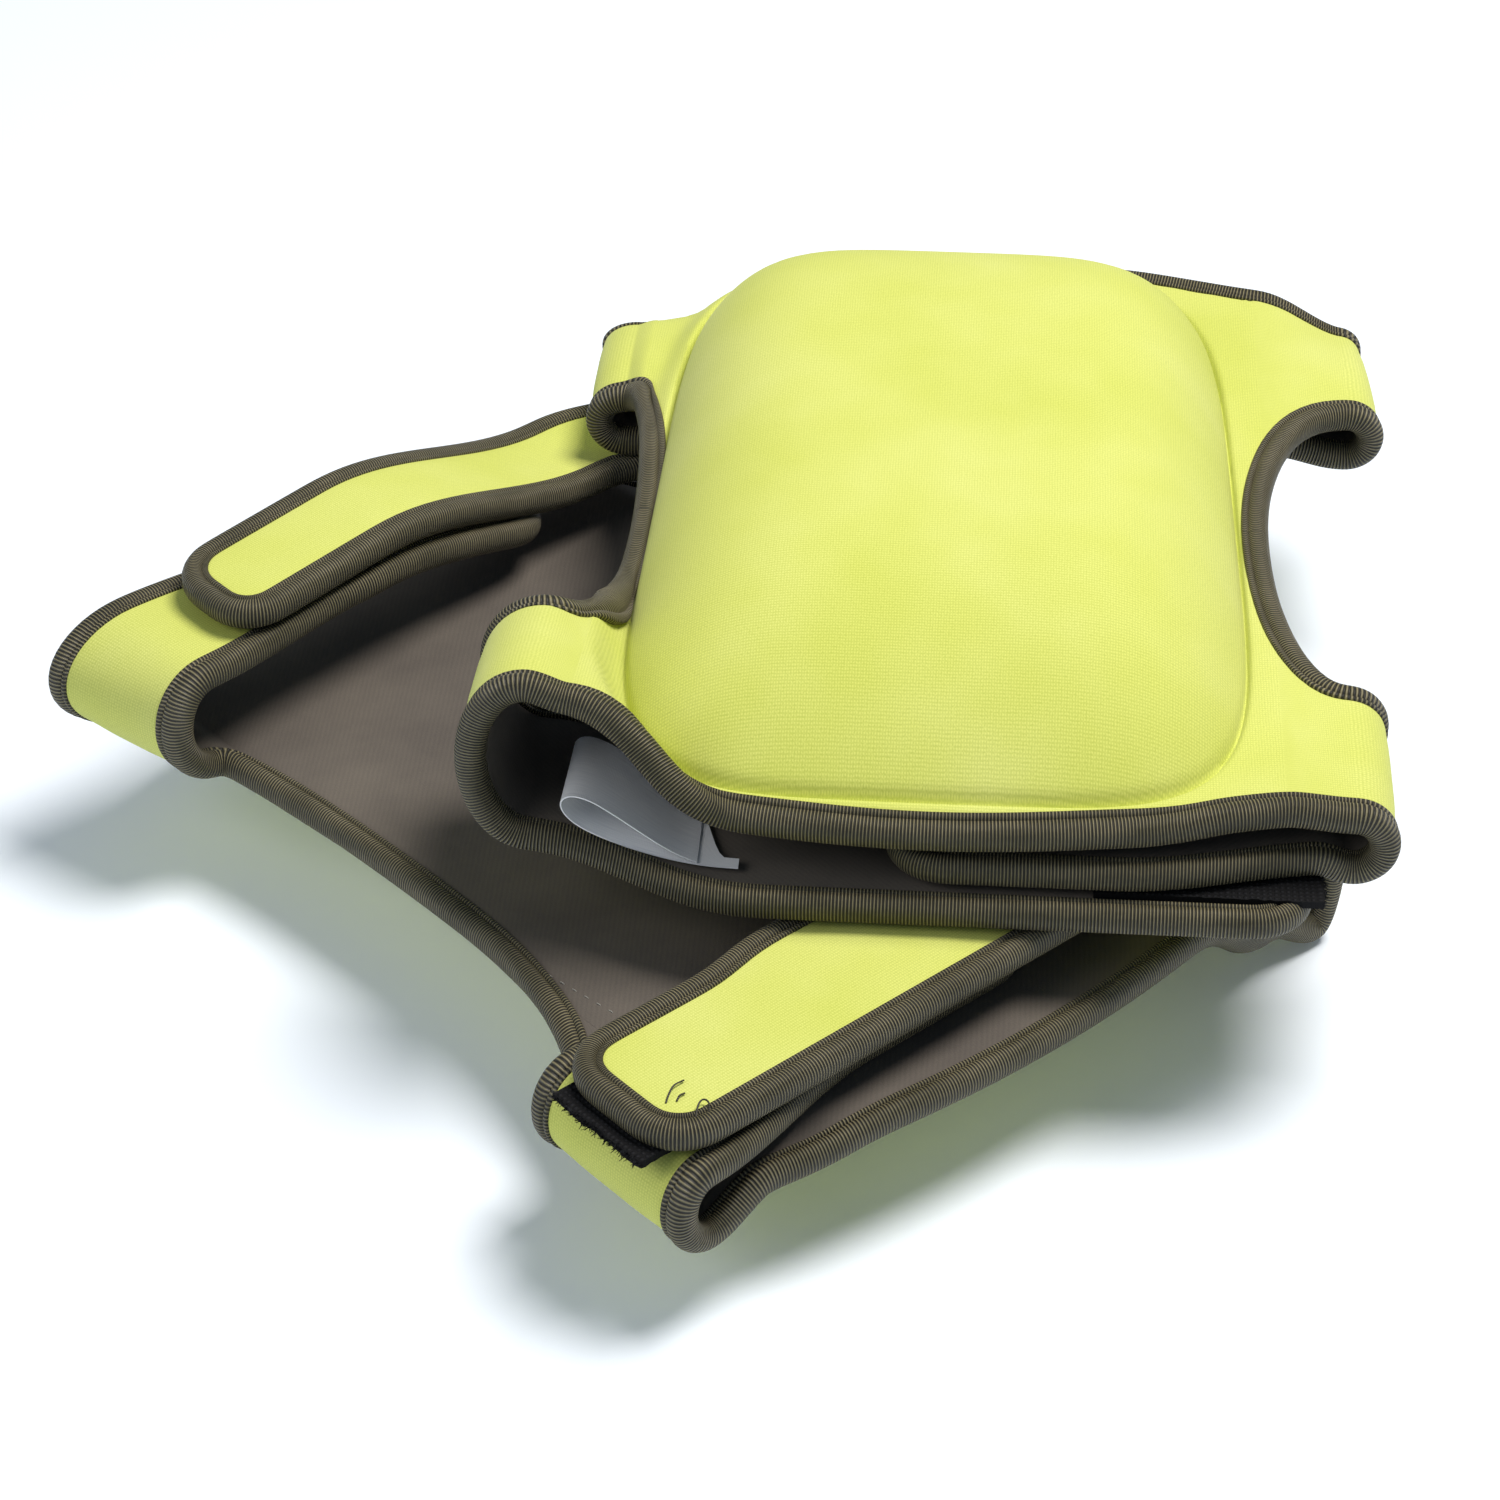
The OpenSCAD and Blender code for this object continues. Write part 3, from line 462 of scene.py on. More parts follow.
# Materials, all from texture coordinates in millimetres
class Nodes:
    """A short way to write a node material."""

    def __init__(self, name, colour, rough):
        self.mat = bpy.data.materials.new(name)
        self.mat.use_nodes = True
        self.tree = self.mat.node_tree
        self.shader = self.tree.nodes["Principled BSDF"]
        self.set("Base Color", (*colour, 1))
        self.set("Roughness", rough)
        self.uv = self.tree.nodes.new("ShaderNodeUVMap")
        self.uv.uv_map = "flat"

    def set(self, socket, value):
        self.shader.inputs[socket].default_value = value

    def link(self, a, b):
        self.tree.links.new(a, b)

    def scaled(self, x, y):
        node = self.tree.nodes.new("ShaderNodeVectorMath")
        node.operation = "MULTIPLY"
        self.link(self.uv.outputs[0], node.inputs[0])
        node.inputs[1].default_value = (x, y, 1)
        return node.outputs[0]

    def noise(self, per_mm, detail=3, rough=0.55, stretch=(1, 1)):
        node = self.tree.nodes.new("ShaderNodeTexNoise")
        node.inputs["Scale"].default_value = 1
        node.inputs["Detail"].default_value = detail
        node.inputs["Roughness"].default_value = rough
        self.link(self.scaled(per_mm * stretch[0], per_mm * stretch[1]), node.inputs["Vector"])
        return node.outputs["Fac"]

    def wave(self, pitch, along="X", distort=0.0, detail=2, detail_scale=1.0):
        node = self.tree.nodes.new("ShaderNodeTexWave")
        node.bands_direction = along
        node.inputs["Scale"].default_value = math.pi / 10 / pitch
        node.inputs["Distortion"].default_value = distort
        node.inputs["Detail"].default_value = detail
        node.inputs["Detail Scale"].default_value = detail_scale
        self.link(self.uv.outputs[0], node.inputs["Vector"])
        return node.outputs["Fac"]

    def math(self, op, a, b=0.0, c=0.0):
        node = self.tree.nodes.new("ShaderNodeMath")
        node.operation = op
        for i, x in enumerate((a, b, c)):
            if isinstance(x, (int, float)):
                node.inputs[i].default_value = x
            else:
                self.link(x, node.inputs[i])
        return node.outputs[0]

    def ramp(self, fac, *stops):
        node = self.tree.nodes.new("ShaderNodeValToRGB")
        marks = node.color_ramp.elements
        while len(marks) < len(stops):
            marks.new(0.5)
        for mark, (at, colour) in zip(marks, stops):
            mark.position = at
            mark.color = (*colour, 1)
        self.link(fac, node.inputs[0])
        return node.outputs[0]

    def mix(self, fac, a, b, how="MIX"):
        node = self.tree.nodes.new("ShaderNodeMix")
        node.data_type = "RGBA"
        node.blend_type = how
        for socket, x in ((node.inputs["Factor"], fac), (node.inputs[6], a), (node.inputs[7], b)):
            if isinstance(x, (int, float)):
                socket.default_value = x
            elif isinstance(x, tuple):
                socket.default_value = (*x, 1)
            else:
                self.link(x, socket)
        return node.outputs[2]

    def bump(self, height, mm, strength=1.0):
        node = self.tree.nodes.new("ShaderNodeBump")
        node.inputs["Strength"].default_value = strength
        node.inputs["Distance"].default_value = mm / 1000
        self.link(height, node.inputs["Height"])
        self.link(node.outputs[0], self.shader.inputs["Normal"])


def srgb(text):
    """A colour written in hexadecimal, as linear light."""
    c = np.array([int(text[i:i + 2], 16) for i in (0, 2, 4)]) / 255
    return tuple(float(x) for x in np.where(c <= 0.04045, c / 12.92, ((c + 0.055) / 1.055) ** 2.4))


def green_fabric():
    n = Nodes("lime_neoprene", srgb("d7db76"), 0.85)
    patch = n.noise(0.018, 3)
    grain = n.noise(2.2, 2, 0.6)
    knit = n.math("MULTIPLY", n.wave(0.6, "X", 1.5, 2, 0.5), n.wave(0.75, "Y", 1.5, 2, 0.5))
    base = n.ramp(patch, (0.35, srgb("d2d76c")), (0.5, srgb("d7db76")), (0.68, srgb("dcdf82")))
    yarn = n.math("MULTIPLY_ADD", knit, 0.35, n.math("MULTIPLY", grain, 0.65))
    shade = n.ramp(yarn, (0.22, (0.66, 0.71, 0.52)), (0.62, (1, 1, 1)))
    n.link(n.mix(0.75, base, shade, "MULTIPLY"), n.shader.inputs["Base Color"])
    n.bump(yarn, 0.11, 0.5)
    n.set("Sheen Weight", 0.18)
    n.set("Sheen Roughness", 0.45)
    n.set("Sheen Tint", (*srgb("f6f7cf"), 1))
    n.set("Specular IOR Level", 0.15)
    return n.mat


def lining_fabric():
    n = Nodes("dark_lining", srgb("645d55"), 0.88)
    patch = n.noise(0.03, 4)
    fine = n.noise(2.6, 2)
    twill = n.wave(0.8, "DIAGONAL", 1.2, 2, 0.4)
    base = n.ramp(patch, (0.3, srgb("5b554f")), (0.7, srgb("6c655c")))
    yarn = n.math("MULTIPLY_ADD", twill, 0.2, n.math("MULTIPLY", fine, 0.8))
    thread = n.ramp(yarn, (0.2, (0.72, 0.72, 0.76)), (0.7, (1, 1, 1)))
    n.link(n.mix(0.7, base, thread, "MULTIPLY"), n.shader.inputs["Base Color"])
    n.bump(yarn, 0.1, 0.5)
    n.set("Sheen Weight", 0.2)
    n.set("Sheen Roughness", 0.45)
    n.set("Sheen Tint", (*srgb("c0b9ae"), 1))
    n.set("Specular IOR Level", 0.15)
    return n.mat


def edge_tape():
    n = Nodes("ribbed_tape", srgb("554f3d"), 0.55)
    ribs = n.wave(0.76, "X", 0.5, 2, 0.25)
    patch = n.noise(0.06, 4, stretch=(1, 4))
    worn = n.noise(0.5, 3)
    base = n.ramp(patch, (0.3, srgb("47432f")), (0.7, srgb("625c47")))
    # The ribs are real, but their colour carries a painted highlight on the crests, brighter than white,
    # and painted shade in the valleys between them
    painted_valley_shade, side, painted_crest_highlight = (0.03, 0.03, 0.04), (0.55, 0.55, 0.56), (2.5, 2.46, 2.34)
    painted_rib_light_and_shade = n.ramp(ribs, (0.2, painted_valley_shade), (0.58, side), (0.93, painted_crest_highlight))
    tint = n.mix(n.math("MULTIPLY_ADD", worn, 0.2, 0.8), base, painted_rib_light_and_shade, "MULTIPLY")
    n.link(tint, n.shader.inputs["Base Color"])
    n.bump(n.math("ADD", ribs, n.math("MULTIPLY", worn, 0.3)), 0.34, 1.0)
    n.set("Sheen Weight", 0.06)
    n.set("Sheen Roughness", 0.4)
    n.set("Sheen Tint", (*srgb("d6cfbc"), 1))
    n.set("Specular IOR Level", 0.45)
    return n.mat


def hook_pile():
    n = Nodes("black_hook_tape", srgb("141414"), 0.75)
    dots = n.math("MULTIPLY", n.wave(1.3, "X", 0.8), n.wave(1.3, "Y", 0.8))
    n.link(n.ramp(dots, (0.2, srgb("08080a")), (0.8, srgb("1c1c1f"))), n.shader.inputs["Base Color"])
    n.bump(n.math("ADD", dots, n.noise(1.5, 3)), 0.5, 0.8)
    n.set("Specular IOR Level", 0.2)
    return n.mat


def satin():
    n = Nodes("white_satin", srgb("f2f2f3"), 0.34)
    warp = n.wave(0.35, "X", 0.6)
    weft = n.noise(0.6, 3, stretch=(0.2, 6))
    n.link(n.ramp(weft, (0.3, srgb("e6e7ea")), (0.7, srgb("f8f8f8"))), n.shader.inputs["Base Color"])
    n.bump(n.math("ADD", warp, weft), 0.05, 0.4)
    n.set("Sheen Weight", 0.2)
    n.set("Anisotropic", 0.4)
    return n.mat


def yarn(name, low, high):
    n = Nodes(name, srgb(high), 0.6)
    ply = n.wave(0.5, "X", 0.2)
    n.link(n.ramp(ply, (0.2, srgb(low)), (0.8, srgb(high))), n.shader.inputs["Base Color"])
    n.bump(ply, 0.1, 0.6)
    return n.mat


GREEN, LINING, TAPE = green_fabric(), lining_fabric(), edge_tape()
HOOK, SATIN = hook_pile(), satin()
THREAD, STITCH = yarn("dark_thread", "24221d", "4a463c"), yarn("pale_stitch", "7d7a73", "a9a69d")


# Panels: cushion and lining
def side_x(side, y, lifts):
    """The panel's side edge, where the cut-outs reach into it."""
    beside = [b for b in BANDS.values() if b.lifts is lifts and b.side == side and b.leg * y >= 0]
    return side * min(float(b.cut_x(y)) for b in beside)


def outline(lifts):
    """Points round the panel edge, anticlockwise from the strap calf corner."""
    across = np.sin(np.linspace(-1, 1, 61) * math.pi / 2)[:-1] * PANEL_HALF
    low = float(edge_y(PANEL_HALF, -1, lifts))
    right, left = (float(edge_y(s * PANEL_HALF, 1, lifts)) for s in (1, -1))
    pts = [(x, float(edge_y(x, -1, lifts))) for x in across]
    pts += [(side_x(1, y, lifts), y) for y in np.linspace(low, right, 71)[:-1]]
    pts += [(-x, float(edge_y(-x, 1, lifts))) for x in across]
    pts += [(side_x(-1, y, lifts), y) for y in np.linspace(left, low, 71)[:-1]]
    return np.array(pts)


def panel_rays(dome, flat, lifts):
    """Points along rays from the middle of the cushion to the panel edge."""
    edge = outline(lifts)
    mid = np.array([0, CUSHION_MID])
    r = rho(edge[:, 0], edge[:, 1])
    rays = [mid + (edge - mid) * (k / r)[:, None] for k in dome]
    rays += [mid + (edge - mid) * lerp(1 / r, 1, k)[:, None] for k in flat]
    return np.stack(rays, 1)


def panel_half_t(x, y, pad):
    """Half thickness of the panel, thinner under the edge tape."""
    lifts = LIFTS[pad]
    d = np.minimum(y - edge_y(x, -1, lifts), edge_y(x, 1, lifts) - y)
    for name, b in BANDS.items():
        if name.startswith(pad):
            here = (np.sign(x) == b.side) & (np.sign(y) == b.leg)
            d = np.where(here, np.minimum(d, b.cut_distance(x, y)), d)
    return pinch(d)


DOME_STEPS = (.004, .08, .16, .24, .32, .4, .47, .54, .6, .655, .705, .75, .79, .825, .855, .88, .902,
              .921, .938, .953, .966, .976, .984, .99, .995, 1)
FLAT_STEPS = (.03, .07, .12, .19, .28, .38, .5, .62, .74, .86, 1)


def cushion(pad, cut):
    """The green half of a pad: a crowned cushion on a thin flange."""
    lifts = LIFTS[pad]
    xy = panel_rays(DOME_STEPS, FLAT_STEPS, lifts)
    x, y = xy[..., 0], xy[..., 1]
    rise, half_t = flange_z(x, y, lifts), panel_half_t(x, y, pad)
    s = Shape()
    top = np.stack([x, y, rise + dome_z(x, y, cut, half_t)], -1)
    s.grid(top, xy, 0, loop=True, cap=True)
    low = np.stack([x, y, rise + 0.02], -1)
    s.grid(low, xy, 0, loop=True, cap=True)
    s.grid(np.stack([top[:, -1], low[:, -1]], 1), xy[:, -2:], 0, loop=True)
    return s.make(pad + "_cushion", upper if pad == "upper" else lower, [GREEN])


def lining(pad):
    """The dark half of a pad, with a short row of pale stitches."""
    lifts = LIFTS[pad]
    xy = panel_rays((.004, .3, .6, .85, 1), FLAT_STEPS, lifts)
    x, y = xy[..., 0], xy[..., 1]
    rise, half_t = flange_z(x, y, lifts), panel_half_t(x, y, pad)
    s = Shape()
    low = np.stack([x, y, rise - half_t], -1)
    s.grid(low, xy, 0, loop=True, cap=True)
    top = np.stack([x, y, rise - 0.02], -1)
    s.grid(top, xy, 0, loop=True, cap=True)
    s.grid(np.stack([low[:, -1], top[:, -1]], 1), xy[:, -2:], 0, loop=True)
    pitch, long = 3.6, 1.2
    for y0 in np.arange(24, 54, pitch):
        run = -np.linspace(y0, y0 + long, 4)
        x0 = 74 + 0.12 * (run + 24)
        z0 = flange_z(x0, run, lifts) - HALF_T - 0.12 * np.sin((-run - y0) / long * math.pi)
        s.tube(np.stack([x0, run, z0], -1), 0.13, 1, 5)
    return s.make(pad + "_lining_sheet", upper if pad == "upper" else lower, [LINING, STITCH])


# Bands: green outside, lining inside
def band_columns(width):
    """Shares across a band, closer together under the edge tape."""
    edge = np.array([0, 1.5, 3, 4, 5, 6, 7.5, 10]) / width
    return np.concatenate([edge, np.linspace(edge[-1], 1 - edge[-1], 9)[1:-1], 1 - edge[::-1]])


def band_sheet(name):
    """A strap or flap; also how far its points follow, and its flat width, length and area."""
    b = BANDS[name]
    rows = b.rows()
    cols = band_columns(b.width)
    centre = np.array([b.mid(k, v, (b.inner_y(k, v) + b.outer_y(k, v)) / 2) for k, v in rows])
    run = run_length(centre)
    faces, backs, uvs, follows = [], [], [], []
    for (k, v), u in zip(rows, run):
        y = lerp(b.inner_y(k, v), b.outer_y(k, v), cols)
        m, n, half_t = b.mid(k, v, y), b.nrm(k, v, y), b.half_t(k, v, y)
        grown = float(ss(0, 0.8, v)) if k == 0 else 1.0
        puff = PUFF * grown * ss(6, 16, np.minimum(cols, 1 - cols) * b.width)
        faces.append(m + n * (half_t + puff)[:, None])
        backs.append(m - n * (half_t + 0.5 * puff)[:, None])
        uvs.append(np.stack([u + PANEL_HALF + 0 * y, b.leg * y], -1))
        follows.append(follow(name, k, v))
    faces, backs, uvs = np.array(faces), np.array(backs), np.array(uvs)
    s = Shape()
    s.box(faces, backs, uvs, (0, 1), np.array(follows)[:, None])
    obj = s.make(name + "_band", upper if name.startswith("upper") else lower, [GREEN, LINING])
    wide = np.array([b.outer_y(k, v) - b.inner_y(k, v) for k, v in rows])
    area = np.sum(np.diff(run) * (wide[1:] + wide[:-1]) / 2)
    return obj, s.w, (wide.max() / 1000, run[-1] / 1000, area / 1e6)


# Edge tapes: each runs from the middle of a panel edge, round a band, to the middle of a cut-out
# One face of the tape: inward from the edge, and height over the middle of the sheet
OUTER = [(5.3, 2.3), (5.25, 2.8), (4.95, 3.1), (4.5, 3.15), (4.05, 3.0), (3.7, 2.6), (3.35, 2.95),
         (2.9, 3.25), (2.2, 3.42), (1.3, 3.4), (0.45, 3.15), (-0.3, 2.6), (-0.85, 1.8), (-1.15, 0.9)]
BACK_SHARE = 0.86
PROFILE = np.array(OUTER + [(-1.22, 0)] + [(u * BACK_SHARE if u > 0 else u, -h) for u, h in OUTER[::-1]])
STEPS_IN = np.arange(0, 7.0)


def tape_rows(name):
    """Middle of the sheet and its normal at steps inward from the edge, and how far each row follows."""
    b = BANDS[name]
    rows = []

    def on_panel(x, y):
        z = flange_z(x, y, b.lifts)
        return np.stack([x, y, z], -1), flange_n(x, y, b.lifts)

    def on_band(kind, v, y, dy, dq=0.0):
        at = v + dq * STEPS_IN if kind == 2 else v
        ys = y + dy * STEPS_IN
        rows.append((b.mid(kind, at, ys), b.nrm(kind, at, ys), follow(name, kind, v)))

    for x in b.side * np.linspace(0, PANEL_HALF, 40)[:-1]:
        y0, y1 = (float(edge_y(x + d, b.leg, b.lifts)) for d in (-0.5, 0.5))
        inward = unit([-(y1 - y0), 1.0]) * -b.leg
        y = float(edge_y(x, b.leg, b.lifts))
        rows.append((*on_panel(x + inward[0] * STEPS_IN, y + inward[1] * STEPS_IN), 0.0))
    for k, v in [(0, v) for v in np.linspace(0.04, 1, 14)] + b.fold_rows():
        on_band(k, v, b.outer_y(k, v), -1)
    arm = b.arm_rows()
    for way, edge in ((1, b.outer_y), (-1, b.inner_y)):
        for k, v in arm[::way]:
            d = max(0.0, TIP_R - max(0.0, v + b.past)) / TIP_R
            on_band(k, v, edge(k, v), -way * math.sqrt(max(0.0, 1 - d * d)), d)
        if way > 0:
            for t in np.linspace(0, 1, 12)[1:-1]:
                on_band(2, -b.past, lerp(b.outer_y(2, -b.past), b.inner_y(2, -b.past), t), 0, 1)
    for k, v in b.fold_rows()[::-1]:
        on_band(k, v, b.inner_y(k, v), 1)
    for k, v in b.wing_rows()[::-1]:
        back = min(0.01, v)
        t = unit([b.span * (0.01 + back), b.inner_y(0, v + 0.01) - b.inner_y(0, v - back)])
        xs = lerp(PANEL_HALF, b.fold_at, v) - t[1] * STEPS_IN
        ys = b.inner_y(0, v) + t[0] * STEPS_IN
        share = np.maximum(0, xs - PANEL_HALF) / b.span
        p, n = on_panel(b.side * xs, b.leg * ys)
        wing = (xs >= PANEL_HALF)[:, None]
        p, n = np.where(wing, b.mid(0, share, ys), p), np.where(wing, b.nrm(0, share, ys), n)
        rows.append((p, n, 0.0))
    for y in np.linspace(b.inner_y(0, 0), 0, 21)[1:]:
        t = unit([b.cut_x(y + 0.5) - b.cut_x(y - 0.5), 1.0])
        xs = b.cut_x(y) - t[1] * STEPS_IN
        rows.append((*on_panel(b.side * xs, b.leg * (y + t[0] * STEPS_IN)), 0.0))
    return rows


# Loose thread ends on the lower calf strap: across, along, height above the strap
LOOSE = [[(92.5, -94, 0.4), (91.0, -93, 1.0), (88.5, -91.5, 1.3), (85.5, -91.4, 0.8)],
         [(90.5, -95, 0.4), (89.2, -94.4, 0.9), (87.8, -94.4, 0.6)],
         [(91, -101.5, 0.3), (88.5, -99.2, 1.2), (86.6, -98.6, 1.4), (86, -100.2, 1.1), (88, -102, 0.3)]]


def edge_binding(name):
    """The ribbed tape round a band, and how far its points follow."""
    rows = tape_rows(name)
    p, n = (np.array([r[i] for r in rows]) for i in range(2))
    w = np.array([r[2] for r in rows])
    for _ in range(2):
        for a in (p, n):
            a[1:-1] = 0.5 * a[1:-1] + 0.25 * (a[:-2] + a[2:])
    share = np.zeros((len(PROFILE), len(STEPS_IN)))
    for row, u in zip(share, PROFILE[:, 0]):
        i = max(0, min(int(u), len(STEPS_IN) - 2))
        row[i], row[i + 1] = i + 1 - u, u - i
    pts = np.einsum("ku,iuc->ikc", share, p)
    out = unit(np.einsum("ku,iuc->ikc", np.maximum(share, 0), n))
    pts = pts + out * PROFILE[None, :, 1:2]
    ring = np.concatenate([pts, pts[:, :1]], 1)
    across = run_length(np.concatenate([PROFILE, PROFILE[:1]]))
    uv = np.stack(np.broadcast_arrays(run_length(p[:, 0])[:, None], across[None, :]), -1)
    s = Shape()
    s.grid(ring, uv, 0, w[:, None])
    last = (len(rows) - 1) * len(across)
    s.face(tuple(range(len(PROFILE))), 0)
    s.face(tuple(range(last, last + len(PROFILE))), 0)
    if name == "lower_calf_strap":
        for strand in LOOSE:
            spots = np.array([(x, y, -2 * LEVEL - HALF_T - z) for x, y, z in strand])
            k = np.linspace(0, len(spots) - 1, 14)
            path = np.stack([np.interp(k, np.arange(len(spots)), spots[:, i]) for i in range(3)], 1)
            for _ in range(3):
                path[1:-1] = 0.5 * path[1:-1] + 0.25 * (path[:-2] + path[2:])
            s.tube(path, 0.2, 1, 6, 1.0)
    obj = s.make(name + "_tape", upper if name.startswith("upper") else lower, [TAPE, THREAD])
    return obj, s.w


# Bands with moving ends, and the bodies at their two ends
MOVES = {
    "upper_calf_strap": ("upper_panel", "upper_straps"),
    "upper_thigh_strap": ("upper_panel", "upper_straps"),
    "upper_calf_flap": ("upper_panel", "upper_calf_flap"),
    "upper_thigh_flap": ("upper_panel", "upper_thigh_flap"),
    "lower_calf_strap": ("lower_pad", "lower_calf_strap_end"),
    "lower_thigh_strap": ("lower_pad", "lower_thigh_strap_end"),
}


def move(obj, name):
    """Puts a piece whose band has moving ends into the shared frame as it is, or lets it ride on the
    lower pad where nothing moves.
    """
    if name not in MOVES:
        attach(obj, "lower_pad")
        return
    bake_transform(obj)


for pad, cut, body in (("upper", 1e3, "upper_panel"), ("lower", LOWER_Z, "lower_pad")):
    piece = cushion(pad, cut)
    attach(piece, body)
    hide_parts(pad + "_cushion_cover", pad + "_foam_core")
    piece = lining(pad)
    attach(piece, body)
    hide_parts(pad + "_lining")
    ring = outline(LIFTS[pad])
    area = 0.5 * np.sum(ring[:, 0] * np.roll(ring[:, 1], -1) - ring[:, 1] * np.roll(ring[:, 0], -1))

SHEET_NODES = {"upper": ("{}_wing", "{}_fold", "{}"), "strap": ("{}", "{}_end"), "flap": ("{}",)}
TAPE_NODES = {
    "upper_calf_strap": ("upper_calf_strap_binding", "upper_calf_edge_binding"),
    "upper_thigh_strap": ("upper_thigh_strap_binding", "upper_strap_side_binding"),
    "upper_calf_flap": ("upper_calf_flap_binding", "upper_flap_side_binding"),
    "upper_thigh_flap": ("upper_thigh_flap_binding", "upper_thigh_edge_binding"),
    "lower_calf_strap": ("lower_calf_strap_inner_binding", "lower_calf_strap_outer_binding",
                         "lower_calf_strap_end_binding", "lower_calf_edge_binding"),
    "lower_thigh_strap": ("lower_thigh_strap_inner_binding", "lower_thigh_strap_outer_binding",
                          "lower_thigh_strap_end_binding", "lower_strap_side_binding"),
    "lower_calf_flap": ("lower_calf_flap_binding", "lower_flap_side_binding"),
    "lower_thigh_flap": ("lower_thigh_flap_binding", "lower_thigh_edge_binding"),
}
for name in BANDS:
    piece, weights, (wide, length, area) = band_sheet(name)
    move(piece, name)
    kind = "upper" if name.startswith("upper") else name.split("_")[-1]
    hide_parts(*[n.format(name) for n in SHEET_NODES[kind]])
    piece, weights = edge_binding(name)
    move(piece, name)
    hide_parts(*TAPE_NODES[name])


# Hook tapes on the inner face of the strap ends, with a frayed edge
HOOK_INSET, HOOK_SUNK, HOOK_T, HOOK_NAP, FRAY = 5, 0.3, 1.3, 0.4, 240


def hook_tape(name, q0, q1, body):
    """A tape from q0 to q1 across the leg, on the strap that it is sewn to."""
    b = BANDS[name]
    node = name.replace("_strap", "_hook_tape")
    rows = np.linspace(q0, q1, 40)
    cols = np.linspace(0, 1, 21)
    tops, lows, uvs = [], [], []
    for q in rows:
        at = max(q, TIP_R - b.past)
        y = lerp(b.inner_y(2, at) + HOOK_INSET, b.outer_y(2, at) - HOOK_INSET, cols)
        m, n = b.mid(2, q, y), b.nrm(2, q, y)
        tops.append(m - n * (HALF_T - HOOK_SUNK))
        lows.append(m - n * (HALF_T + HOOK_T + HOOK_NAP * rng.random(len(cols)))[:, None])
        uvs.append(np.stack([q + 0 * y, y], -1))
    tops, lows, uvs = np.array(tops), np.array(lows), np.array(uvs)
    for edge in (tops, lows):
        edge[-1, :, 0] -= b.side * 0.6 * rng.random(len(cols))
    s = Shape()
    s.box(tops, lows, uvs)
    away = unit(tops[-1, 10] - tops[-4, 10])
    for _ in range(FRAY):
        j, h = rng.integers(0, len(cols) - 1), rng.random()
        near, far = (lerp(tops[-1, i], lows[-1, i], h) for i in (j, j + 1))
        start = lerp(near, far, rng.random())
        lean = unit(away + 0.7 * rng.normal(size=3))
        k = np.linspace(-0.5, 0.4 + 0.9 * rng.random(), 4)[:, None]
        s.tube(start + lean * k + 0.15 * k ** 2 * rng.normal(size=3), np.linspace(0.16, 0.06, 4), 0, 4)
    obj = s.make(node + "_pile", upper if name.startswith("upper") else lower, [HOOK])
    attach(obj, body)
    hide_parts(node)


hook_tape("upper_calf_strap", 46 - STRAP_PAST, -2.5 - STRAP_PAST, "upper_straps")
hook_tape("upper_thigh_strap", 46 - STRAP_PAST, 4 - STRAP_PAST, "upper_straps")
# The lower calf hook pile runs 4 mm past the strap's tip: partly real hook tape, partly painted shade
# filling the dark gap between the tip and the fold below
hook_tape("lower_calf_strap", CALF_PEEL - 3, -104.0, "lower_calf_strap_end")
hook_tape("lower_thigh_strap", THIGH_PEEL - 4, 4.0 - 72, "lower_thigh_strap_end")


# The blank care label, a satin loop in the mouth of the upper calf fold
LABEL_W, LABEL_T = 22, 0.3


def care_label():
    """A loop drawn across the leg and over the strap, then widened along the leg."""
    b = BANDS["upper_calf_strap"]
    keys = np.array([(-40, 1.3), (-46, 0.8), (-52, 0.5), (-58, 0.4), (-64, 0.6), (-70, 1.3), (-75, 2.6),
                     (-78, 4.7), (-79.3, 7.2), (-78.4, 9.6), (-75.6, 10.8), (-72, 10.4), (-68, 8.8),
                     (-63, 6.4), (-58, 4.0), (-54, 2.3), (-50.5, 1.4), (-49, 1.2)])
    t = run_length(keys)
    s = np.linspace(0, t[-1], 70)
    path = np.stack([np.interp(s, t, keys[:, i]) for i in (0, 1)], 1)
    for _ in range(6):
        path[1:-1] = 0.5 * path[1:-1] + 0.25 * (path[:-2] + path[2:])
    d = unit(np.gradient(path, axis=0))
    n = np.stack([d[:, 1], -d[:, 0]], 1)
    width = np.linspace(0, 1, 9)
    run = run_length(path)
    sheets = []
    for h in (LABEL_T / 2, -LABEL_T / 2):
        x, z = path[:, 0] + n[:, 0] * h, path[:, 1] + n[:, 1] * h
        near = -CALF_EDGE + 4.5 + 0.16 * (-50 - x)
        floor_z = b.arm_z(-x) + HALF_T + 0.5
        tail = 1 - 0.85 * ss(-51, -43, x) * (np.arange(len(x)) < 30)
        y = near[:, None] + LABEL_W * width[None, :] * tail[:, None]
        lean = 0.05 * (y - near[:, None]) * ss(1, 10, z)[:, None]
        sheets.append(np.stack([x[:, None] + lean, y, (floor_z + z)[:, None] + 0 * y], -1))
    uv = np.stack(np.broadcast_arrays(run[:, None], LABEL_W * width[None, :]), -1)
    s = Shape()
    s.box(sheets[0], sheets[1], uv)
    obj = s.make("care_label_loop", upper, [SATIN])
    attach(obj, "upper_straps")
    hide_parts("care_label")


care_label()


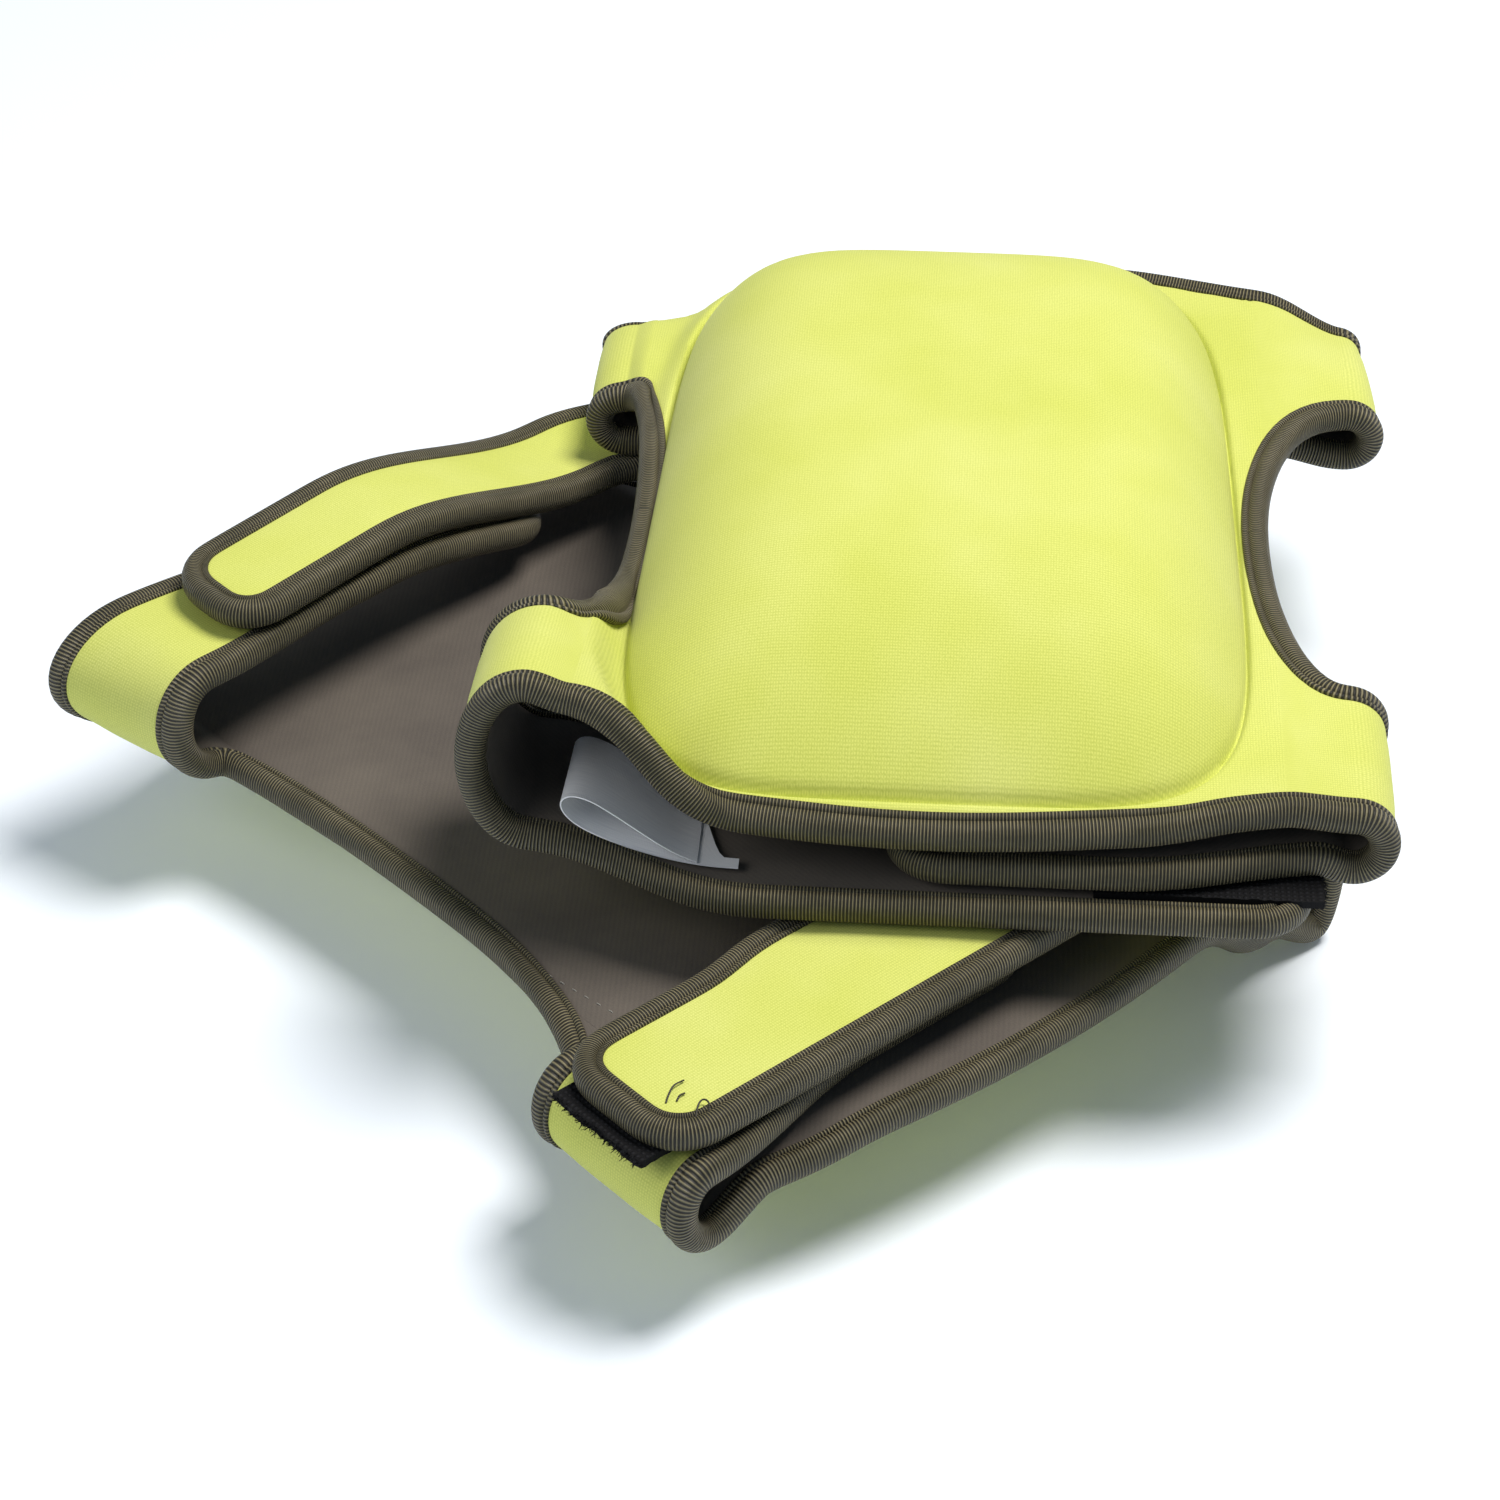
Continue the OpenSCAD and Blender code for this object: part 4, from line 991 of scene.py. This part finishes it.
# Floor, light and camera
def studio():
    """A pale floor that stays light in the shade, a dim blue sky, and two soft lamps."""
    n = Nodes("pale_floor", (0.84, 0.9, 0.98), 0.9)
    tree = n.tree
    out = tree.nodes["Material Output"]
    path = tree.nodes.new("ShaderNodeLightPath")
    glow = tree.nodes.new("ShaderNodeEmission")
    glow.inputs["Strength"].default_value = 0.06
    both = tree.nodes.new("ShaderNodeAddShader")
    pick = tree.nodes.new("ShaderNodeMixShader")
    n.link(n.shader.outputs[0], both.inputs[0])
    n.link(glow.outputs[0], both.inputs[1])
    seen = n.math("MAXIMUM", path.outputs["Is Camera Ray"], path.outputs["Is Glossy Ray"])
    seen = n.math("MAXIMUM", seen, path.outputs["Is Transmission Ray"])
    n.link(seen, pick.inputs[0])
    n.link(n.shader.outputs[0], pick.inputs[1])
    n.link(both.outputs[0], pick.inputs[2])
    n.link(pick.outputs[0], out.inputs[0])
    size = 6.0
    mesh = bpy.data.meshes.new("floor")
    corners = [(-size, -size, 0), (size, -size, 0), (size, size, 0), (-size, size, 0)]
    mesh.from_pydata(corners, [], [(0, 1, 2, 3)])
    mesh.materials.append(n.mat)
    floor = bpy.data.objects.new("floor", mesh)
    bpy.context.scene.collection.objects.link(floor)

    world = bpy.data.worlds.new("studio")
    world.use_nodes = True
    t = world.node_tree
    back = t.nodes["Background"]
    back.inputs["Color"].default_value = (0.62, 0.80, 1.0, 1)
    back.inputs["Strength"].default_value = 0.22
    white = t.nodes.new("ShaderNodeBackground")
    white.inputs["Strength"].default_value = 1.0
    ray = t.nodes.new("ShaderNodeLightPath")
    mix = t.nodes.new("ShaderNodeMixShader")
    t.links.new(ray.outputs["Is Camera Ray"], mix.inputs[0])
    t.links.new(back.outputs[0], mix.inputs[1])
    t.links.new(white.outputs[0], mix.inputs[2])
    t.links.new(mix.outputs[0], t.nodes["World Output"].inputs[0])
    bpy.context.scene.world = world

    def lamp(name, at, size, power, colour=(1, 1, 1)):
        data = bpy.data.lights.new(name, "AREA")
        data.shape = "DISK"
        data.size = size
        data.energy = power
        data.color = colour
        obj = bpy.data.objects.new(name, data)
        obj.location = at
        aim = np.array([0.0, 0.0, 0.05]) - np.array(at)
        obj.rotation_euler = Vector(aim).to_track_quat("-Z", "Y").to_euler()
        bpy.context.scene.collection.objects.link(obj)

    lamp("key", (0.55, 0.2, 1.5), 0.75, 30, (1.0, 0.955, 0.91))
    lamp("fill", (-1.1, -0.7, 1.0), 1.0, 7, (1.0, 0.99, 0.97))


LENS, SENSOR = 95.76, 36


def camera():
    """Looks down at the pads from the front, a little from the right."""
    lean, turn, away = math.radians(36), math.radians(3.9), 0.857
    aim = np.array([UPPER_AT[0] - 38.6, UPPER_AT[1] - 97.2, UPPER_Z + 5]) / 1000
    back = np.array([math.sin(turn) * math.cos(lean), -math.cos(turn) * math.cos(lean), math.sin(lean)])
    data = bpy.data.cameras.new("camera")
    data.sensor_width = SENSOR
    data.lens = LENS
    obj = bpy.data.objects.new("camera", data)
    obj.location = aim + back * away
    obj.rotation_euler = Vector(-back).to_track_quat("-Z", "Y").to_euler()
    bpy.context.scene.collection.objects.link(obj)
    bpy.context.scene.camera = obj


studio()
camera()
bpy.context.scene.view_settings.view_transform = "Standard"
